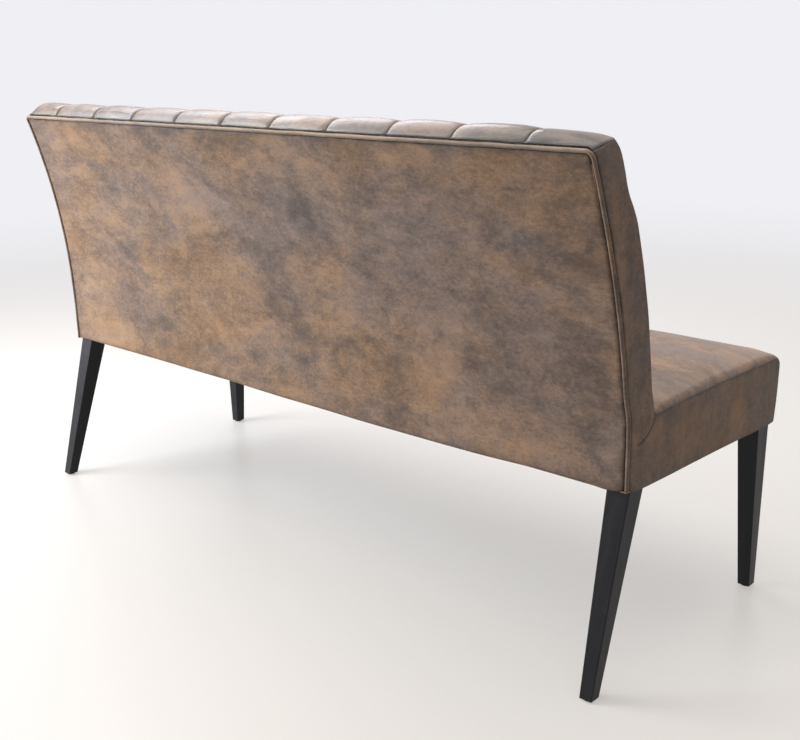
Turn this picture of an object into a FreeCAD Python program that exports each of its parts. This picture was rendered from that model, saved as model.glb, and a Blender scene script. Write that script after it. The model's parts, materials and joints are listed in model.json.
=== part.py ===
import FreeCAD, Part
import math
import os
import re
import Sketcher

# An upholstered banquette bench: tapered wooden legs, a wooden seat frame and back frame, webbing, foam
# and sewn covers with a piped rear edge. X runs along the bench, the sitter looks along -Y and Z is up.
# The origin is on the floor below the middle of the bench. Left and right are the sitter's.
# All lengths are in millimetres.

SIZES = {
    # the whole bench
    "bench_length": 1600,
    "bench_depth": 616,
    "hem_height": 340,
    # clearances
    "fit_gap": 0.2,
    "soft_gap": 0.3,
    "webbing_gap": 1,
    # seat upholstery
    "cover_thickness": 2,
    "side_padding": 5,
    "front_padding": 3,
    "seat_edge_height": 66,
    "seat_rear_fall": 11,
    "seat_seam_bulge": 1.5,
    "seat_front_rise": 6,
    "seat_crown_rise": 16,
    "seat_rear_rise": 5,
    "seat_shoulder": 28,
    "seat_corner_radius": 38,
    "seat_hem_draw_in": 11,
    "seat_draw_in_height": 70,
    "seat_cover_tail": 30,
    "hem_return": 14,
    "dust_cover_thickness": 0.8,
    "dust_cover_inset": 8,
    # back upholstery
    "back_bend_radius": 1391,
    "back_bend_height": 398,
    "back_top_draw_in": 21,
    "back_flare_rise": 2,
    "back_thickness": 84,
    "back_taper_drop": 122,
    "back_edge_rise": 15,
    "back_edge_thickness": 60,
    "back_rear_edge_rise": 6,
    "back_top_rise": 15,
    "channel_count": 11,
    "channel_end_extra": 2.5,
    "channel_puff": 7,
    "channel_top_puff": 4,
    "quilting_thickness": 8,
    "tuck_drop": 6,
    "tuck_radius": 45.5,
    "tuck_slit": 1.5,
    # rear piping
    "piping_diameter": 8,
    "piping_inset": 3,
    "piping_height": 887,
    "piping_corner_radius": 17,
    # seat frame
    "rail_height": 60,
    "rail_thickness": 22,
    "side_rail_thickness": 30,
    "cross_rail_height": 50,
    "cross_rail_offset": 50,
    "corner_block_side": 40,
    "corner_block_height": 50,
    # back frame
    "board_thickness": 3,
    "board_side_inset": 8,
    "post_thickness": 22,
    "post_depth": 38,
    "post_top_depth": 28,
    "post_spacing": 500,
    "frame_top_drop": 19,
    "top_rail_height": 60,
    "back_rail_depth": 22,
    "lower_rail_height": 440,
    "back_rail_width": 60,
    # webbing
    "strap_thickness": 2,
    "strap_width": 60,
    "strap_count": 11,
    "strap_end_inset": 103,
    "back_strap_gap": 18,
    "back_strap_count": 6,
    "back_strap_rise": 68,
    "back_strap_top_drop": 58,
    "support_cloth_thickness": 1,
    # legs and glides
    "leg_top_size": 43,
    "leg_foot_size": 24,
    "leg_edge_radius": 2,
    "leg_outer_inset": 2.5,
    "leg_outer_draw_in": 1,
    "front_leg_setback": 48,
    "rear_leg_setback": 34,
    "rear_leg_rake": 100,
    "glide_diameter": 18,
    "glide_thickness": 3,
    "glide_nail_diameter": 3,
    "glide_nail_length": 12,
    # fasteners
    "bolt_diameter": 8,
    "bolt_head_diameter": 17,
    "bolt_head_thickness": 3,
    "leg_bolt_depth": 50,
    "leg_bolt_reach": 17,
    "insert_diameter": 12,
    "insert_length": 15,
    "nut_diameter": 10,
    "nut_length": 11,
    "nut_flange_diameter": 17,
    "nut_flange_thickness": 1.5,
    "bolt_row_spread": 20,
    "bolt_low_height": 28,
    "screw_diameter": 5,
    "screw_head_diameter": 9,
    "screw_head_thickness": 3,
    "screw_grip": 32,
    "screw_low_height": 15,
    "screw_row_spread": 15,
    "block_screw_grip": 16,
    "block_screw_low_height": 18,
    "block_screw_row_spread": 28,
}

doc = FreeCAD.newDocument("banquette_bench")
sheet = doc.addObject("Spreadsheet::Sheet", "sizes")
for row, (alias, number) in enumerate(SIZES.items(), start=1):
    sheet.set("A%d" % row, alias)
    sheet.set("B%d" % row, str(number))
    sheet.setAlias("B%d" % row, alias)
doc.recompute()

SIDES = {"left": 1, "right": -1}
ENDS = ("front", "rear")
pieces = []


def formula(text):
    """Point every size named in the text at its cell of the sheet."""
    def cell(word):
        return "sizes." + word.group() if word.group() in SIZES else word.group()

    return re.sub(r"[a-z][a-z_]+", cell, text)


def value(text):
    return float(sheet.evalExpression(formula(text)))


def bind(item, settings):
    for prop, text in settings.items():
        item.setExpression(prop, formula(text))


def keep(item, label):
    """Name a finished sub-part of the bench."""
    item.Label = label
    pieces.append(item)
    return item


def mirrored(span, side):
    """Give a span along X on the sitter's left, or its mirror image on the right."""
    low, high = span
    if side > 0:
        return span
    return "-(%s)" % high, "-(%s)" % low


def box(name, x, y, z):
    item = doc.addObject("Part::Box", name)
    for side_name, axis, (low, high) in zip(("Length", "Width", "Height"), "xyz", (x, y, z)):
        bind(item, {side_name: "(%s) - (%s)" % (high, low), "Placement.Base." + axis: low})
    return item


TURNS = {
    "x": FreeCAD.Rotation(FreeCAD.Vector(0, 1, 0), 90),
    "y": FreeCAD.Rotation(FreeCAD.Vector(1, 0, 0), -90),
    "z": FreeCAD.Rotation(),
}


def rod(name, axis, low, high, across, radius):
    """Make a round rod along an axis, at its two places across that axis."""
    item = doc.addObject("Part::Cylinder", name)
    item.Placement = FreeCAD.Placement(FreeCAD.Vector(), TURNS[axis])
    bind(item, {"Radius": radius, "Height": "(%s) - (%s)" % (high, low), "Placement.Base." + axis: low})
    for other, place in zip([letter for letter in "xyz" if letter != axis], across):
        bind(item, {"Placement.Base." + other: place})
    return item


def fused(name, items):
    item = doc.addObject("Part::MultiFuse", name)
    item.Shapes = items
    return item


def cut(name, base, tools):
    item = doc.addObject("Part::Cut", name)
    item.Base = base
    item.Tool = tools[0] if len(tools) == 1 else fused(name + "_tools", tools)
    return item


def common(name, first, second):
    item = doc.addObject("Part::MultiCommon", name)
    item.Shapes = [first, second]
    return item


def group(name, items):
    item = doc.addObject("Part::Compound", name)
    item.Links = items
    return item


def arc_centre(start, end, radius, turn):
    """Find the centre of the arc that runs from start to end, turning left (1) or right (-1)."""
    chord = end - start
    sideways = FreeCAD.Vector(-chord.y, chord.x, 0).normalize() * turn
    return (start + end) * 0.5 + sideways * math.sqrt(radius ** 2 - (chord.Length / 2) ** 2)


def draw_outline(body, role, name, corners, lift=None):
    """Sketch a closed outline, every corner of which is held by two formulas.

    A corner is (along, up), or (along, up, radius, turn) where an arc leaves it for the next corner.
    """
    sketch = body.newObject("Sketcher::SketchObject", name)
    plane = [feature for feature in body.Origin.OriginFeatures if feature.Role == role][0]
    sketch.AttachmentSupport = [(plane, "")]
    sketch.MapMode = "FlatFace"
    if lift:
        bind(sketch, {"AttachmentOffset.Base.z": lift})
    places = [FreeCAD.Vector(value(corner[0]), value(corner[1]), 0) for corner in corners]
    tips = []
    for index, corner in enumerate(corners):
        start = places[index]
        end = places[(index + 1) % len(corners)]
        if len(corner) == 2:
            sketch.addGeometry(Part.LineSegment(start, end))
            tips.append((1, 2))
            continue
        radius, turn = value(corner[2]), corner[3]
        centre = arc_centre(start, end, radius, turn)
        angles = [math.atan2(tip.y - centre.y, tip.x - centre.x) for tip in (start, end)]
        circle = Part.Circle(centre, FreeCAD.Vector(0, 0, 1), radius)
        sketch.addGeometry(Part.ArcOfCircle(circle, *(angles if turn > 0 else reversed(angles))))
        tips.append((1, 2) if turn > 0 else (2, 1))
    for index, corner in enumerate(corners):
        following = (index + 1) % len(corners)
        meeting = (index, tips[index][1], following, tips[following][0])
        sketch.addConstraint(Sketcher.Constraint("Coincident", *meeting))
        holds = [("DistanceX", places[index].x, corner[0]), ("DistanceY", places[index].y, corner[1])]
        for kind, number, text in holds:
            held = sketch.addConstraint(Sketcher.Constraint(kind, -1, 1, index, tips[index][0], number))
            bind(sketch, {"Constraints[%d]" % held: text})
        if len(corner) > 2:
            held = sketch.addConstraint(Sketcher.Constraint("Radius", index, value(corner[2])))
            bind(sketch, {"Constraints[%d]" % held: corner[2]})
    return sketch


ROLES = {"x": "YZ_Plane", "y": "XZ_Plane", "z": "XY_Plane"}


def slab(name, axis, low, high, corners):
    """Pad an outline along an axis, from low to high. Outlines are drawn in (Y, Z), (X, Z) or (X, Y)."""
    body = doc.addObject("PartDesign::Body", name)
    sketch = draw_outline(body, ROLES[axis], name + "_outline", corners)
    pad = body.newObject("PartDesign::Pad", name + "_pad")
    pad.Profile = sketch
    pad.Reversed = axis == "y"
    bind(pad, {"Length": "(%s) - (%s)" % (high, low)})
    bind(body, {"Placement.Base." + axis: low})
    return body


# Places that several sub-parts share, as formulas

SEAT_FRONT = "(-bench_depth / 2)"
FRAME_LOW = "(hem_height + cover_thickness)"
FRAME_HIGH = "(hem_height + cover_thickness + rail_height)"
FRAME_SIDE = "(bench_length / 2 - cover_thickness - side_padding)"
RAIL_INNER = "(bench_length / 2 - cover_thickness - side_padding - side_rail_thickness)"
RAIL_FRONT = "(-bench_depth / 2 + seat_hem_draw_in + cover_thickness + front_padding)"
CLOTH_LOW = "(hem_height + cover_thickness + rail_height + strap_thickness)"
CLOTH_HIGH = "(hem_height + cover_thickness + rail_height + strap_thickness + support_cloth_thickness)"
BEND_Y = (
    "(bench_depth / 2 - piping_diameter / 2"
    " + sqrt((back_bend_radius + piping_inset)^2 - (piping_height - back_bend_height)^2))"
)
BOARD_REAR = "(cover_thickness + fit_gap)"
POST_REAR = "(cover_thickness + board_thickness + 2 * fit_gap)"
POST_FRONT = "(cover_thickness + board_thickness + 2 * fit_gap + post_depth)"
SIDE_COVER_REAR = "(piping_inset + piping_diameter / 2 + soft_gap)"
SEAT_EDGE = "(hem_height + cover_thickness + rail_height + seat_edge_height)"
SEAT_REAR = "(hem_height + cover_thickness + rail_height + seat_edge_height - seat_rear_fall)"
FLARE_Z = "(%s + back_flare_rise)" % SEAT_EDGE
TUCK_Z = "(%s - tuck_drop)" % SEAT_REAR
BACK_TOP_SIDE = "(bench_length / 2 - back_top_draw_in)"
TAPER_Z = "(piping_height - back_taper_drop)"
EDGE_Z = "(piping_height + back_edge_rise)"
REAR_EDGE_Z = "(piping_height + back_rear_edge_rise)"
FRAME_TOP = "(piping_height - frame_top_drop)"
TOP_RAIL_LOW = "(piping_height - frame_top_drop - top_rail_height)"
MIDDLE_RAIL_LOW = "((lower_rail_height + %s) / 2)" % TOP_RAIL_LOW
LEG_X = "(bench_length / 2 - cover_thickness - side_padding - side_rail_thickness / 2)"


# How much the back narrows on each side for each millimetre of height above the seat
FLARE_SLOPE = "(back_top_draw_in / (piping_height - %s))" % FLARE_Z


def upright(depth):
    """Y at a depth inside the rear face, below the bend of the back."""
    return "(%s - back_bend_radius - %s)" % (BEND_Y, depth)


def bent(depth, height):
    """Y at a depth inside the rear face, at a height on the bend of the back."""
    return "(%s - sqrt((back_bend_radius + %s)^2 - (%s - back_bend_height)^2))" % (BEND_Y, depth, height)


def bend_radius(depth):
    return "(back_bend_radius + %s)" % depth


POST_TAPER_Y = bent(POST_FRONT, TAPER_Z)
POST_TOP_Y = "(%s - post_top_depth)" % bent(POST_REAR, FRAME_TOP)
REAR_RAIL_FRONT = "(%s - rail_thickness)" % upright(POST_FRONT)
EDGE_FRONT_Y = "(%s - back_edge_thickness)" % bent("0", EDGE_Z)
LEG_Y = {
    "front": "(%s + front_leg_setback)" % SEAT_FRONT,
    "rear": "(%s - rear_leg_setback)" % upright("0"),
}
END_POST = ("%s - post_thickness" % RAIL_INNER, RAIL_INNER)
INNER_POST = ("post_spacing / 2 - post_thickness / 2", "post_spacing / 2 + post_thickness / 2")


def post_front(height):
    """Y of the straight upper front of the posts at a height."""
    return "(%s + (%s - %s) * (%s - %s) / (back_taper_drop - frame_top_drop))" % (
        POST_TAPER_Y, POST_TOP_Y, POST_TAPER_Y, height, TAPER_Z)


# Legs and glides


def rounded_square(centre_x, centre_y, size):
    """A square with small round corners, drawn anticlockwise from the left end of its front edge."""
    half, near = "%s / 2" % size, "(%s / 2 - leg_edge_radius)" % size
    turns = [("-", near, "-", half), ("+", near, "-", half), ("+", half, "-", near), ("+", half, "+", near),
             ("+", near, "+", half), ("-", near, "+", half), ("-", half, "+", near), ("-", half, "-", near)]
    corners = []
    for number, (x_way, x_step, y_way, y_step) in enumerate(turns):
        place = ("%s %s %s" % (centre_x, x_way, x_step), "%s %s %s" % (centre_y, y_way, y_step))
        corners.append(place if number % 2 == 0 else place + ("leg_edge_radius", 1))
    return corners


def foot_place(side, end):
    x = "(%d * (bench_length / 2 - leg_outer_inset - leg_outer_draw_in - leg_foot_size / 2))" % side
    y = LEG_Y[end] if end == "front" else "(%s + rear_leg_rake)" % LEG_Y[end]
    return x, y


def make_leg(side_name, end):
    """A square leg that tapers on its inner faces; the rear pair is raked back."""
    side = SIDES[side_name]
    name = "leg_%s_%s" % (end, side_name)
    body = doc.addObject("PartDesign::Body", name + "_body")
    foot_x, foot_y = foot_place(side, end)
    top_x = "(%d * (bench_length / 2 - leg_outer_inset - leg_top_size / 2))" % side
    foot_square = rounded_square(foot_x, foot_y, "leg_foot_size")
    top_square = rounded_square(top_x, LEG_Y[end], "leg_top_size")
    foot = draw_outline(body, "XY_Plane", name + "_foot", foot_square, "glide_thickness")
    top = draw_outline(body, "XY_Plane", name + "_top", top_square, FRAME_LOW)
    taper = body.newObject("PartDesign::AdditiveLoft", name + "_taper")
    taper.Profile = foot
    taper.Sections = [top]
    taper.Ruled = True
    bolt_x = "%d * %s" % (side, LEG_X)
    bolt_hole = rod(name + "_bolt_hole", "z", "%s - leg_bolt_depth - fit_gap" % FRAME_LOW, FRAME_LOW,
                    (bolt_x, LEG_Y[end]), "bolt_diameter / 2 + fit_gap")
    nail_hole = rod(name + "_nail_hole", "z", "glide_thickness",
                    "glide_thickness + glide_nail_length + fit_gap",
                    (foot_x, foot_y), "glide_nail_diameter / 2 + fit_gap / 2")
    keep(cut(name, body, [bolt_hole, nail_hole]), name)


def make_glide(side_name, end):
    name = "glide_%s_%s" % (end, side_name)
    place = foot_place(SIDES[side_name], end)
    disc = rod(name + "_disc", "z", "0", "glide_thickness", place, "glide_diameter / 2")
    nail = rod(name + "_nail", "z", "glide_thickness / 2", "glide_thickness + glide_nail_length", place,
               "glide_nail_diameter / 2")
    keep(fused(name, [disc, nail]), name)


# Fasteners, each with the holes that it needs in the wood


def leg_bolt_parts(side_name, end):
    name = "%s_%s" % (end, side_name)
    place = ("%d * %s" % (SIDES[side_name], LEG_X), LEG_Y[end])
    bolt = rod("leg_bolt_" + name, "z", "%s - leg_bolt_depth" % FRAME_LOW, "%s + leg_bolt_reach" % FRAME_LOW,
               place, "bolt_diameter / 2")
    insert_high = "%s + insert_length" % FRAME_LOW
    insert_round = rod("insert_round_" + name, "z", FRAME_LOW, insert_high, place, "insert_diameter / 2")
    insert_bore = rod("insert_bore_" + name, "z", FRAME_LOW, insert_high, place,
                      "bolt_diameter / 2 + fit_gap / 2")
    insert = cut("insert_" + name, insert_round, [insert_bore])
    return bolt, insert


def leg_bolt_hole(name, side, end):
    place = ("%d * %s" % (side, LEG_X), LEG_Y[end])
    wide = rod(name + "_wide", "z", FRAME_LOW, "%s + insert_length" % FRAME_LOW, place,
               "insert_diameter / 2 + fit_gap / 2")
    deep = rod(name + "_deep", "z", FRAME_LOW, "%s + leg_bolt_reach + fit_gap" % FRAME_LOW, place,
               "bolt_diameter / 2 + fit_gap")
    return [wide, deep]


def end_bolt_rows():
    """Y and Z of the two bolts through each end post: one low at the rear, one high at the front."""
    middle = "(%s + %s) / 2" % (upright(POST_REAR), upright(POST_FRONT))
    low = "%s + bolt_low_height" % FRAME_LOW
    high = "%s + bolt_row_spread" % low
    return [("%s + bolt_row_spread / 2" % middle, low), ("%s - bolt_row_spread / 2" % middle, high)]


def inner_bolt_rows(side):
    """X and Z of the two bolts through each inner post."""
    low = "%s + bolt_low_height / 2" % FRAME_LOW
    middle = "%d * post_spacing / 2" % side
    return [(middle, low), (middle, "%s + bolt_row_spread + bolt_low_height / 4" % low)]


def bolt_parts(name, axis, side, head_face, nut_face, across):
    """A flat-headed bolt and its flanged nut, from the head's face to the nut's face along an axis."""
    def part(label, low, high, radius):
        return rod("%s_%s" % (name, label), axis, *mirrored((low, high), side), across, radius)

    head = part("head", "%s - bolt_head_thickness" % head_face, head_face, "bolt_head_diameter / 2")
    shank = part("shank", head_face, "%s - nut_flange_thickness" % nut_face, "bolt_diameter / 2")
    flange = part("flange", "%s - nut_flange_thickness" % nut_face, nut_face, "nut_flange_diameter / 2")
    barrel_low = "%s - nut_flange_thickness - nut_length" % nut_face
    barrel = part("barrel", barrel_low, "%s - nut_flange_thickness" % nut_face, "nut_diameter / 2")
    bore = part("bore", barrel_low, nut_face, "bolt_diameter / 2 + fit_gap / 2")
    blank = fused(name + "_nut_blank", [flange, barrel])
    return fused(name + "_bolt", [head, shank]), cut(name + "_nut", blank, [bore])


def bolt_hole(name, axis, side, low, high, across):
    return rod(name, axis, *mirrored((low, high), side), across, "bolt_diameter / 2 + fit_gap / 2")


def nut_hole(name, axis, side, nut_face, across):
    flange = rod(name + "_flange", axis,
                 *mirrored(("%s - nut_flange_thickness" % nut_face, nut_face), side), across,
                 "nut_flange_diameter / 2 + fit_gap / 2")
    barrel = rod(name + "_barrel", axis,
                 *mirrored(("%s - nut_flange_thickness - nut_length" % nut_face, nut_face), side), across,
                 "nut_diameter / 2 + fit_gap / 2")
    return [flange, barrel]


def screw_part(name, axis, side, head_face, tip, across, wider="0"):
    """A countersunk screw, or with a little more width the hole for it; side -1 points it the other way."""
    head_span = mirrored((head_face, "%s + screw_head_thickness" % head_face), side)
    head = rod(name + "_head", axis, *head_span, across, "screw_head_diameter / 2 + %s" % wider)
    shank = rod(name + "_shank", axis, *mirrored((head_face, "%s + %s" % (tip, wider)), side), across,
                "screw_diameter / 2 + %s" % wider)
    return [head, shank]


def rail_screw_rows(end):
    """Y and Z of the screws through a side rail into the front or rear rail."""
    y = "(%s + rail_thickness / 2)" % (RAIL_FRONT if end == "front" else REAR_RAIL_FRONT)
    low = "%s + screw_low_height" % FRAME_LOW
    return [(y, low), (y, "%s + screw_row_spread" % low)]


# Along X, the screws of a side rail start at its outer face and point inwards
RAIL_SCREW_HEAD = "(-%s)" % FRAME_SIDE
RAIL_SCREW_TIP = "(-%s + screw_grip)" % RAIL_INNER


def cross_screw_spans(end):
    """Head face, tip and direction along Y of the screws through a long rail into a cross rail."""
    if end == "front":
        return RAIL_FRONT, "(%s + rail_thickness + screw_grip)" % RAIL_FRONT, 1
    return "(-%s)" % upright(POST_FRONT), "(-%s + rail_thickness + screw_grip)" % upright(POST_FRONT), -1


def cross_screw_rows(side):
    x = "%d * (post_spacing / 2 + cross_rail_offset)" % side
    low = "%s + screw_low_height" % FRAME_LOW
    return [(x, low), (x, "%s + screw_row_spread" % low)]


def block_spans(side, end):
    x = mirrored(("%s - corner_block_side" % RAIL_INNER, RAIL_INNER), side)
    if end == "front":
        inner = "(%s + rail_thickness)" % RAIL_FRONT
        return x, (inner, "%s + corner_block_side" % inner)
    return x, ("%s - corner_block_side" % REAR_RAIL_FRONT, REAR_RAIL_FRONT)


BLOCK_LOW = "(%s + (rail_height - corner_block_height) / 2)" % FRAME_LOW
BLOCK_SCREW_LOW = "(%s + block_screw_low_height)" % FRAME_LOW
BLOCK_SCREW_HIGH = "(%s + block_screw_low_height + block_screw_row_spread)" % FRAME_LOW


def block_screws(name, side, end, wider="0"):
    """Two screws of a corner block: the low one into the side rail, the high one into the long rail."""
    x_middle = "%d * (%s - corner_block_side / 2)" % (side, RAIL_INNER)
    y_low, y_high = block_spans(side, end)[1]
    y_middle = "((%s) + (%s)) / 2" % (y_low, y_high)
    sideways = screw_part(name + "_sideways", "x", side, "%s - corner_block_side" % RAIL_INNER,
                          "(%s + block_screw_grip)" % RAIL_INNER, (y_middle, BLOCK_SCREW_LOW), wider)
    if end == "front":
        head_face, tip = "(-(%s))" % y_high, "(-(%s) + block_screw_grip)" % y_low
        onwards = screw_part(name + "_onwards", "y", -1, head_face, tip, (x_middle, BLOCK_SCREW_HIGH), wider)
    else:
        head_face, tip = "(%s)" % y_low, "(%s + block_screw_grip)" % y_high
        onwards = screw_part(name + "_onwards", "y", 1, head_face, tip, (x_middle, BLOCK_SCREW_HIGH), wider)
    return sideways, onwards


def make_fasteners():
    bolts, inserts, back_bolts, back_nuts, screws, small_screws = [], [], [], [], [], []
    for side_name, side in SIDES.items():
        for end in ENDS:
            bolt, insert = leg_bolt_parts(side_name, end)
            bolts.append(bolt)
            inserts.append(insert)
            name = "%s_%s" % (end, side_name)
            for row, across in enumerate(rail_screw_rows(end)):
                parts = screw_part("rail_screw_%s_%d" % (name, row), "x", -side,
                                   RAIL_SCREW_HEAD, RAIL_SCREW_TIP, across)
                screws.append(fused("rail_screw_%s_%d" % (name, row), parts))
            head_face, tip, way = cross_screw_spans(end)
            for row, across in enumerate(cross_screw_rows(side)):
                parts = screw_part("cross_screw_%s_%d" % (name, row), "y", way, head_face, tip, across)
                screws.append(fused("cross_screw_%s_%d" % (name, row), parts))
            for number, parts in enumerate(block_screws("block_screw_" + name, side, end)):
                small_screws.append(fused("block_screw_%s_%d" % (name, number), parts))
        for row, across in enumerate(end_bolt_rows()):
            bolt, nut = bolt_parts("end_post_%s_%d" % (side_name, row), "x", side,
                                   END_POST[0], FRAME_SIDE, across)
            back_bolts.append(bolt)
            back_nuts.append(nut)
        for row, across in enumerate(inner_bolt_rows(side)):
            bolt, nut = bolt_parts("inner_post_%s_%d" % (side_name, row), "y", 1,
                                   REAR_RAIL_FRONT, upright(POST_REAR), across)
            back_bolts.append(bolt)
            back_nuts.append(nut)
    keep(group("leg_bolts", bolts), "leg_bolts")
    keep(group("leg_inserts", inserts), "leg_inserts")
    keep(group("back_bolts", back_bolts), "back_bolts")
    keep(group("back_bolt_nuts", back_nuts), "back_bolt_nuts")
    keep(group("frame_screws", screws), "frame_screws")
    keep(group("corner_block_screws", small_screws), "corner_block_screws")


# Seat frame


def make_side_rail(side_name):
    side = SIDES[side_name]
    name = "side_rail_" + side_name
    blank = box(name + "_blank", mirrored((RAIL_INNER, FRAME_SIDE), side), (RAIL_FRONT, upright(POST_REAR)),
                (FRAME_LOW, FRAME_HIGH))
    holes = []
    for end in ENDS:
        holes += leg_bolt_hole("%s_%s_insert" % (name, end), side, end)
        for row, across in enumerate(rail_screw_rows(end)):
            holes += screw_part("%s_%s_screw_%d" % (name, end, row), "x", -side, RAIL_SCREW_HEAD,
                                RAIL_SCREW_TIP, across, "fit_gap")
        holes += block_screws("%s_%s_block" % (name, end), side, end, "fit_gap")[0]
    for row, across in enumerate(end_bolt_rows()):
        holes.append(bolt_hole("%s_bolt_%d" % (name, row), "x", side, RAIL_INNER, FRAME_SIDE, across))
        holes += nut_hole("%s_nut_%d" % (name, row), "x", side, FRAME_SIDE, across)
    keep(cut(name, blank, holes), name)


def make_cross_way_rail(end):
    """The front rail or the rear rail of the seat."""
    name = "seat_rail_" + end
    low = RAIL_FRONT if end == "front" else REAR_RAIL_FRONT
    blank = box(name + "_blank", ("-%s" % RAIL_INNER, RAIL_INNER), (low, "%s + rail_thickness" % low),
                (FRAME_LOW, FRAME_HIGH))
    holes = []
    for side_name, side in SIDES.items():
        for row, across in enumerate(rail_screw_rows(end)):
            holes += screw_part("%s_%s_screw_%d" % (name, side_name, row), "x", -side, RAIL_SCREW_HEAD,
                                RAIL_SCREW_TIP, across, "fit_gap")
        head_face, tip, way = cross_screw_spans(end)
        for row, across in enumerate(cross_screw_rows(side)):
            holes += screw_part("%s_%s_cross_%d" % (name, side_name, row), "y", way,
                                head_face, tip, across, "fit_gap")
        holes += block_screws("%s_%s_block" % (name, side_name), side, end, "fit_gap")[1]
        if end == "rear":
            for row, across in enumerate(inner_bolt_rows(side)):
                holes.append(bolt_hole("%s_%s_bolt_%d" % (name, side_name, row), "y", 1, low,
                                       "%s + rail_thickness" % low, across))
    keep(cut(name, blank, holes), name)


def make_cross_rail(side_name):
    side = SIDES[side_name]
    name = "seat_cross_rail_" + side_name
    middle = "%d * (post_spacing / 2 + cross_rail_offset)" % side
    x = ("%s - rail_thickness / 2" % middle, "%s + rail_thickness / 2" % middle)
    y = ("%s + rail_thickness" % RAIL_FRONT, REAR_RAIL_FRONT)
    blank = box(name + "_blank", x, y, (FRAME_LOW, "%s + cross_rail_height" % FRAME_LOW))
    holes = []
    for end in ENDS:
        head_face, tip, way = cross_screw_spans(end)
        for row, across in enumerate(cross_screw_rows(side)):
            holes += screw_part("%s_%s_%d" % (name, end, row), "y", way, head_face, tip, across, "fit_gap")
    keep(cut(name, blank, holes), name)


def make_corner_block(side_name, end):
    side = SIDES[side_name]
    name = "corner_block_%s_%s" % (end, side_name)
    x, y = block_spans(side, end)
    blank = box(name + "_blank", x, y, (BLOCK_LOW, "%s + corner_block_height" % BLOCK_LOW))
    sideways, onwards = block_screws(name + "_hole", side, end, "fit_gap")
    keep(cut(name, blank, sideways + onwards), name)


# Back frame


def post_outline(high):
    """Side view of a post: upright at the bottom, bent back above and straight at the front near the top."""
    return [
        (upright(POST_FRONT), FRAME_LOW),
        (upright(POST_REAR), FRAME_LOW),
        (upright(POST_REAR), "back_bend_height", bend_radius(POST_REAR), -1),
        (bent(POST_REAR, high), high),
        (post_front(high), high),
        (POST_TAPER_Y, TAPER_Z, bend_radius(POST_FRONT), 1),
        (upright(POST_FRONT), "back_bend_height"),
    ]


def make_end_post(side_name):
    side = SIDES[side_name]
    name = "back_post_end_" + side_name
    post = slab(name + "_body", "x", *mirrored(END_POST, side), post_outline(FRAME_TOP))
    holes = [bolt_hole("%s_hole_%d" % (name, row), "x", side, *END_POST, across)
             for row, across in enumerate(end_bolt_rows())]
    keep(cut(name, post, holes), name)


def make_inner_post(side_name):
    side = SIDES[side_name]
    name = "back_post_inner_" + side_name
    post = slab(name + "_body", "x", *mirrored(INNER_POST, side), post_outline(TOP_RAIL_LOW))
    holes = []
    for row, across in enumerate(inner_bolt_rows(side)):
        holes.append(bolt_hole("%s_hole_%d" % (name, row), "y", 1,
                               upright(POST_FRONT), upright(POST_REAR), across))
        holes += nut_hole("%s_nut_%d" % (name, row), "y", 1, upright(POST_REAR), across)
    keep(cut(name, post, holes), name)


def make_top_rail():
    outline = [
        (bent(POST_REAR, TOP_RAIL_LOW), TOP_RAIL_LOW, bend_radius(POST_REAR), -1),
        (bent(POST_REAR, FRAME_TOP), FRAME_TOP),
        (post_front(FRAME_TOP), FRAME_TOP),
        (post_front(TOP_RAIL_LOW), TOP_RAIL_LOW),
    ]
    keep(slab("back_top_rail_body", "x", "-(%s)" % END_POST[0], END_POST[0], outline), "back_top_rail")


def make_bay_rails(prefix, low):
    """Three rails in the bays between the posts, bent like the rear face."""
    high = "(%s + back_rail_width)" % low
    front = "(%s + back_rail_depth)" % POST_REAR
    outline = [
        (bent(POST_REAR, low), low, bend_radius(POST_REAR), -1),
        (bent(POST_REAR, high), high),
        (bent(front, high), high, bend_radius(front), 1),
        (bent(front, low), low),
    ]
    side_bay = (INNER_POST[1], END_POST[0])
    centre_bay = ("-(%s)" % INNER_POST[0], INNER_POST[0])
    bays = {"left": side_bay, "centre": centre_bay, "right": mirrored(side_bay, -1)}
    for bay, span in bays.items():
        name = "%s_%s" % (prefix, bay)
        keep(slab(name + "_body", "x", *span, outline), name)


def rear_sheet_outline(outer, inner, low, high):
    """Side view of a sheet that follows the rear face between two depths."""
    return [
        (upright(inner), low),
        (upright(outer), low),
        (upright(outer), "back_bend_height", bend_radius(outer), -1),
        (bent(outer, high), high),
        (bent(inner, high), high, bend_radius(inner), 1),
        (upright(inner), "back_bend_height"),
    ]


def make_rear_board():
    board_front = "(%s + board_thickness)" % BOARD_REAR
    outline = rear_sheet_outline(BOARD_REAR, board_front, FRAME_LOW, FRAME_TOP)
    half = "(%s - board_side_inset)" % BACK_TOP_SIDE
    keep(slab("rear_board_body", "x", "-%s" % half, half, outline), "rear_board")


# Webbing and cloth


def make_seat_webbing():
    straps = []
    pitch = "((2 * %s - 2 * strap_end_inset) / (strap_count - 1))" % RAIL_INNER
    for number in range(int(value("strap_count"))):
        middle = "((%d - (strap_count - 1) / 2) * %s)" % (number, pitch)
        across = ("%s - strap_width / 2" % middle, "%s + strap_width / 2" % middle)
        along = (RAIL_FRONT, "%s + rail_thickness" % REAR_RAIL_FRONT)
        straps.append(box("seat_strap_%d" % number, across, along, (FRAME_HIGH, CLOTH_LOW)))
    keep(group("seat_webbing", straps), "seat_webbing")


def make_support_cloth():
    cloth = box("support_cloth", ("-%s" % FRAME_SIDE, FRAME_SIDE),
                (RAIL_FRONT, "%s - fit_gap" % upright(POST_FRONT)), (CLOTH_LOW, CLOTH_HIGH))
    keep(cloth, "seat_support_cloth")


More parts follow.
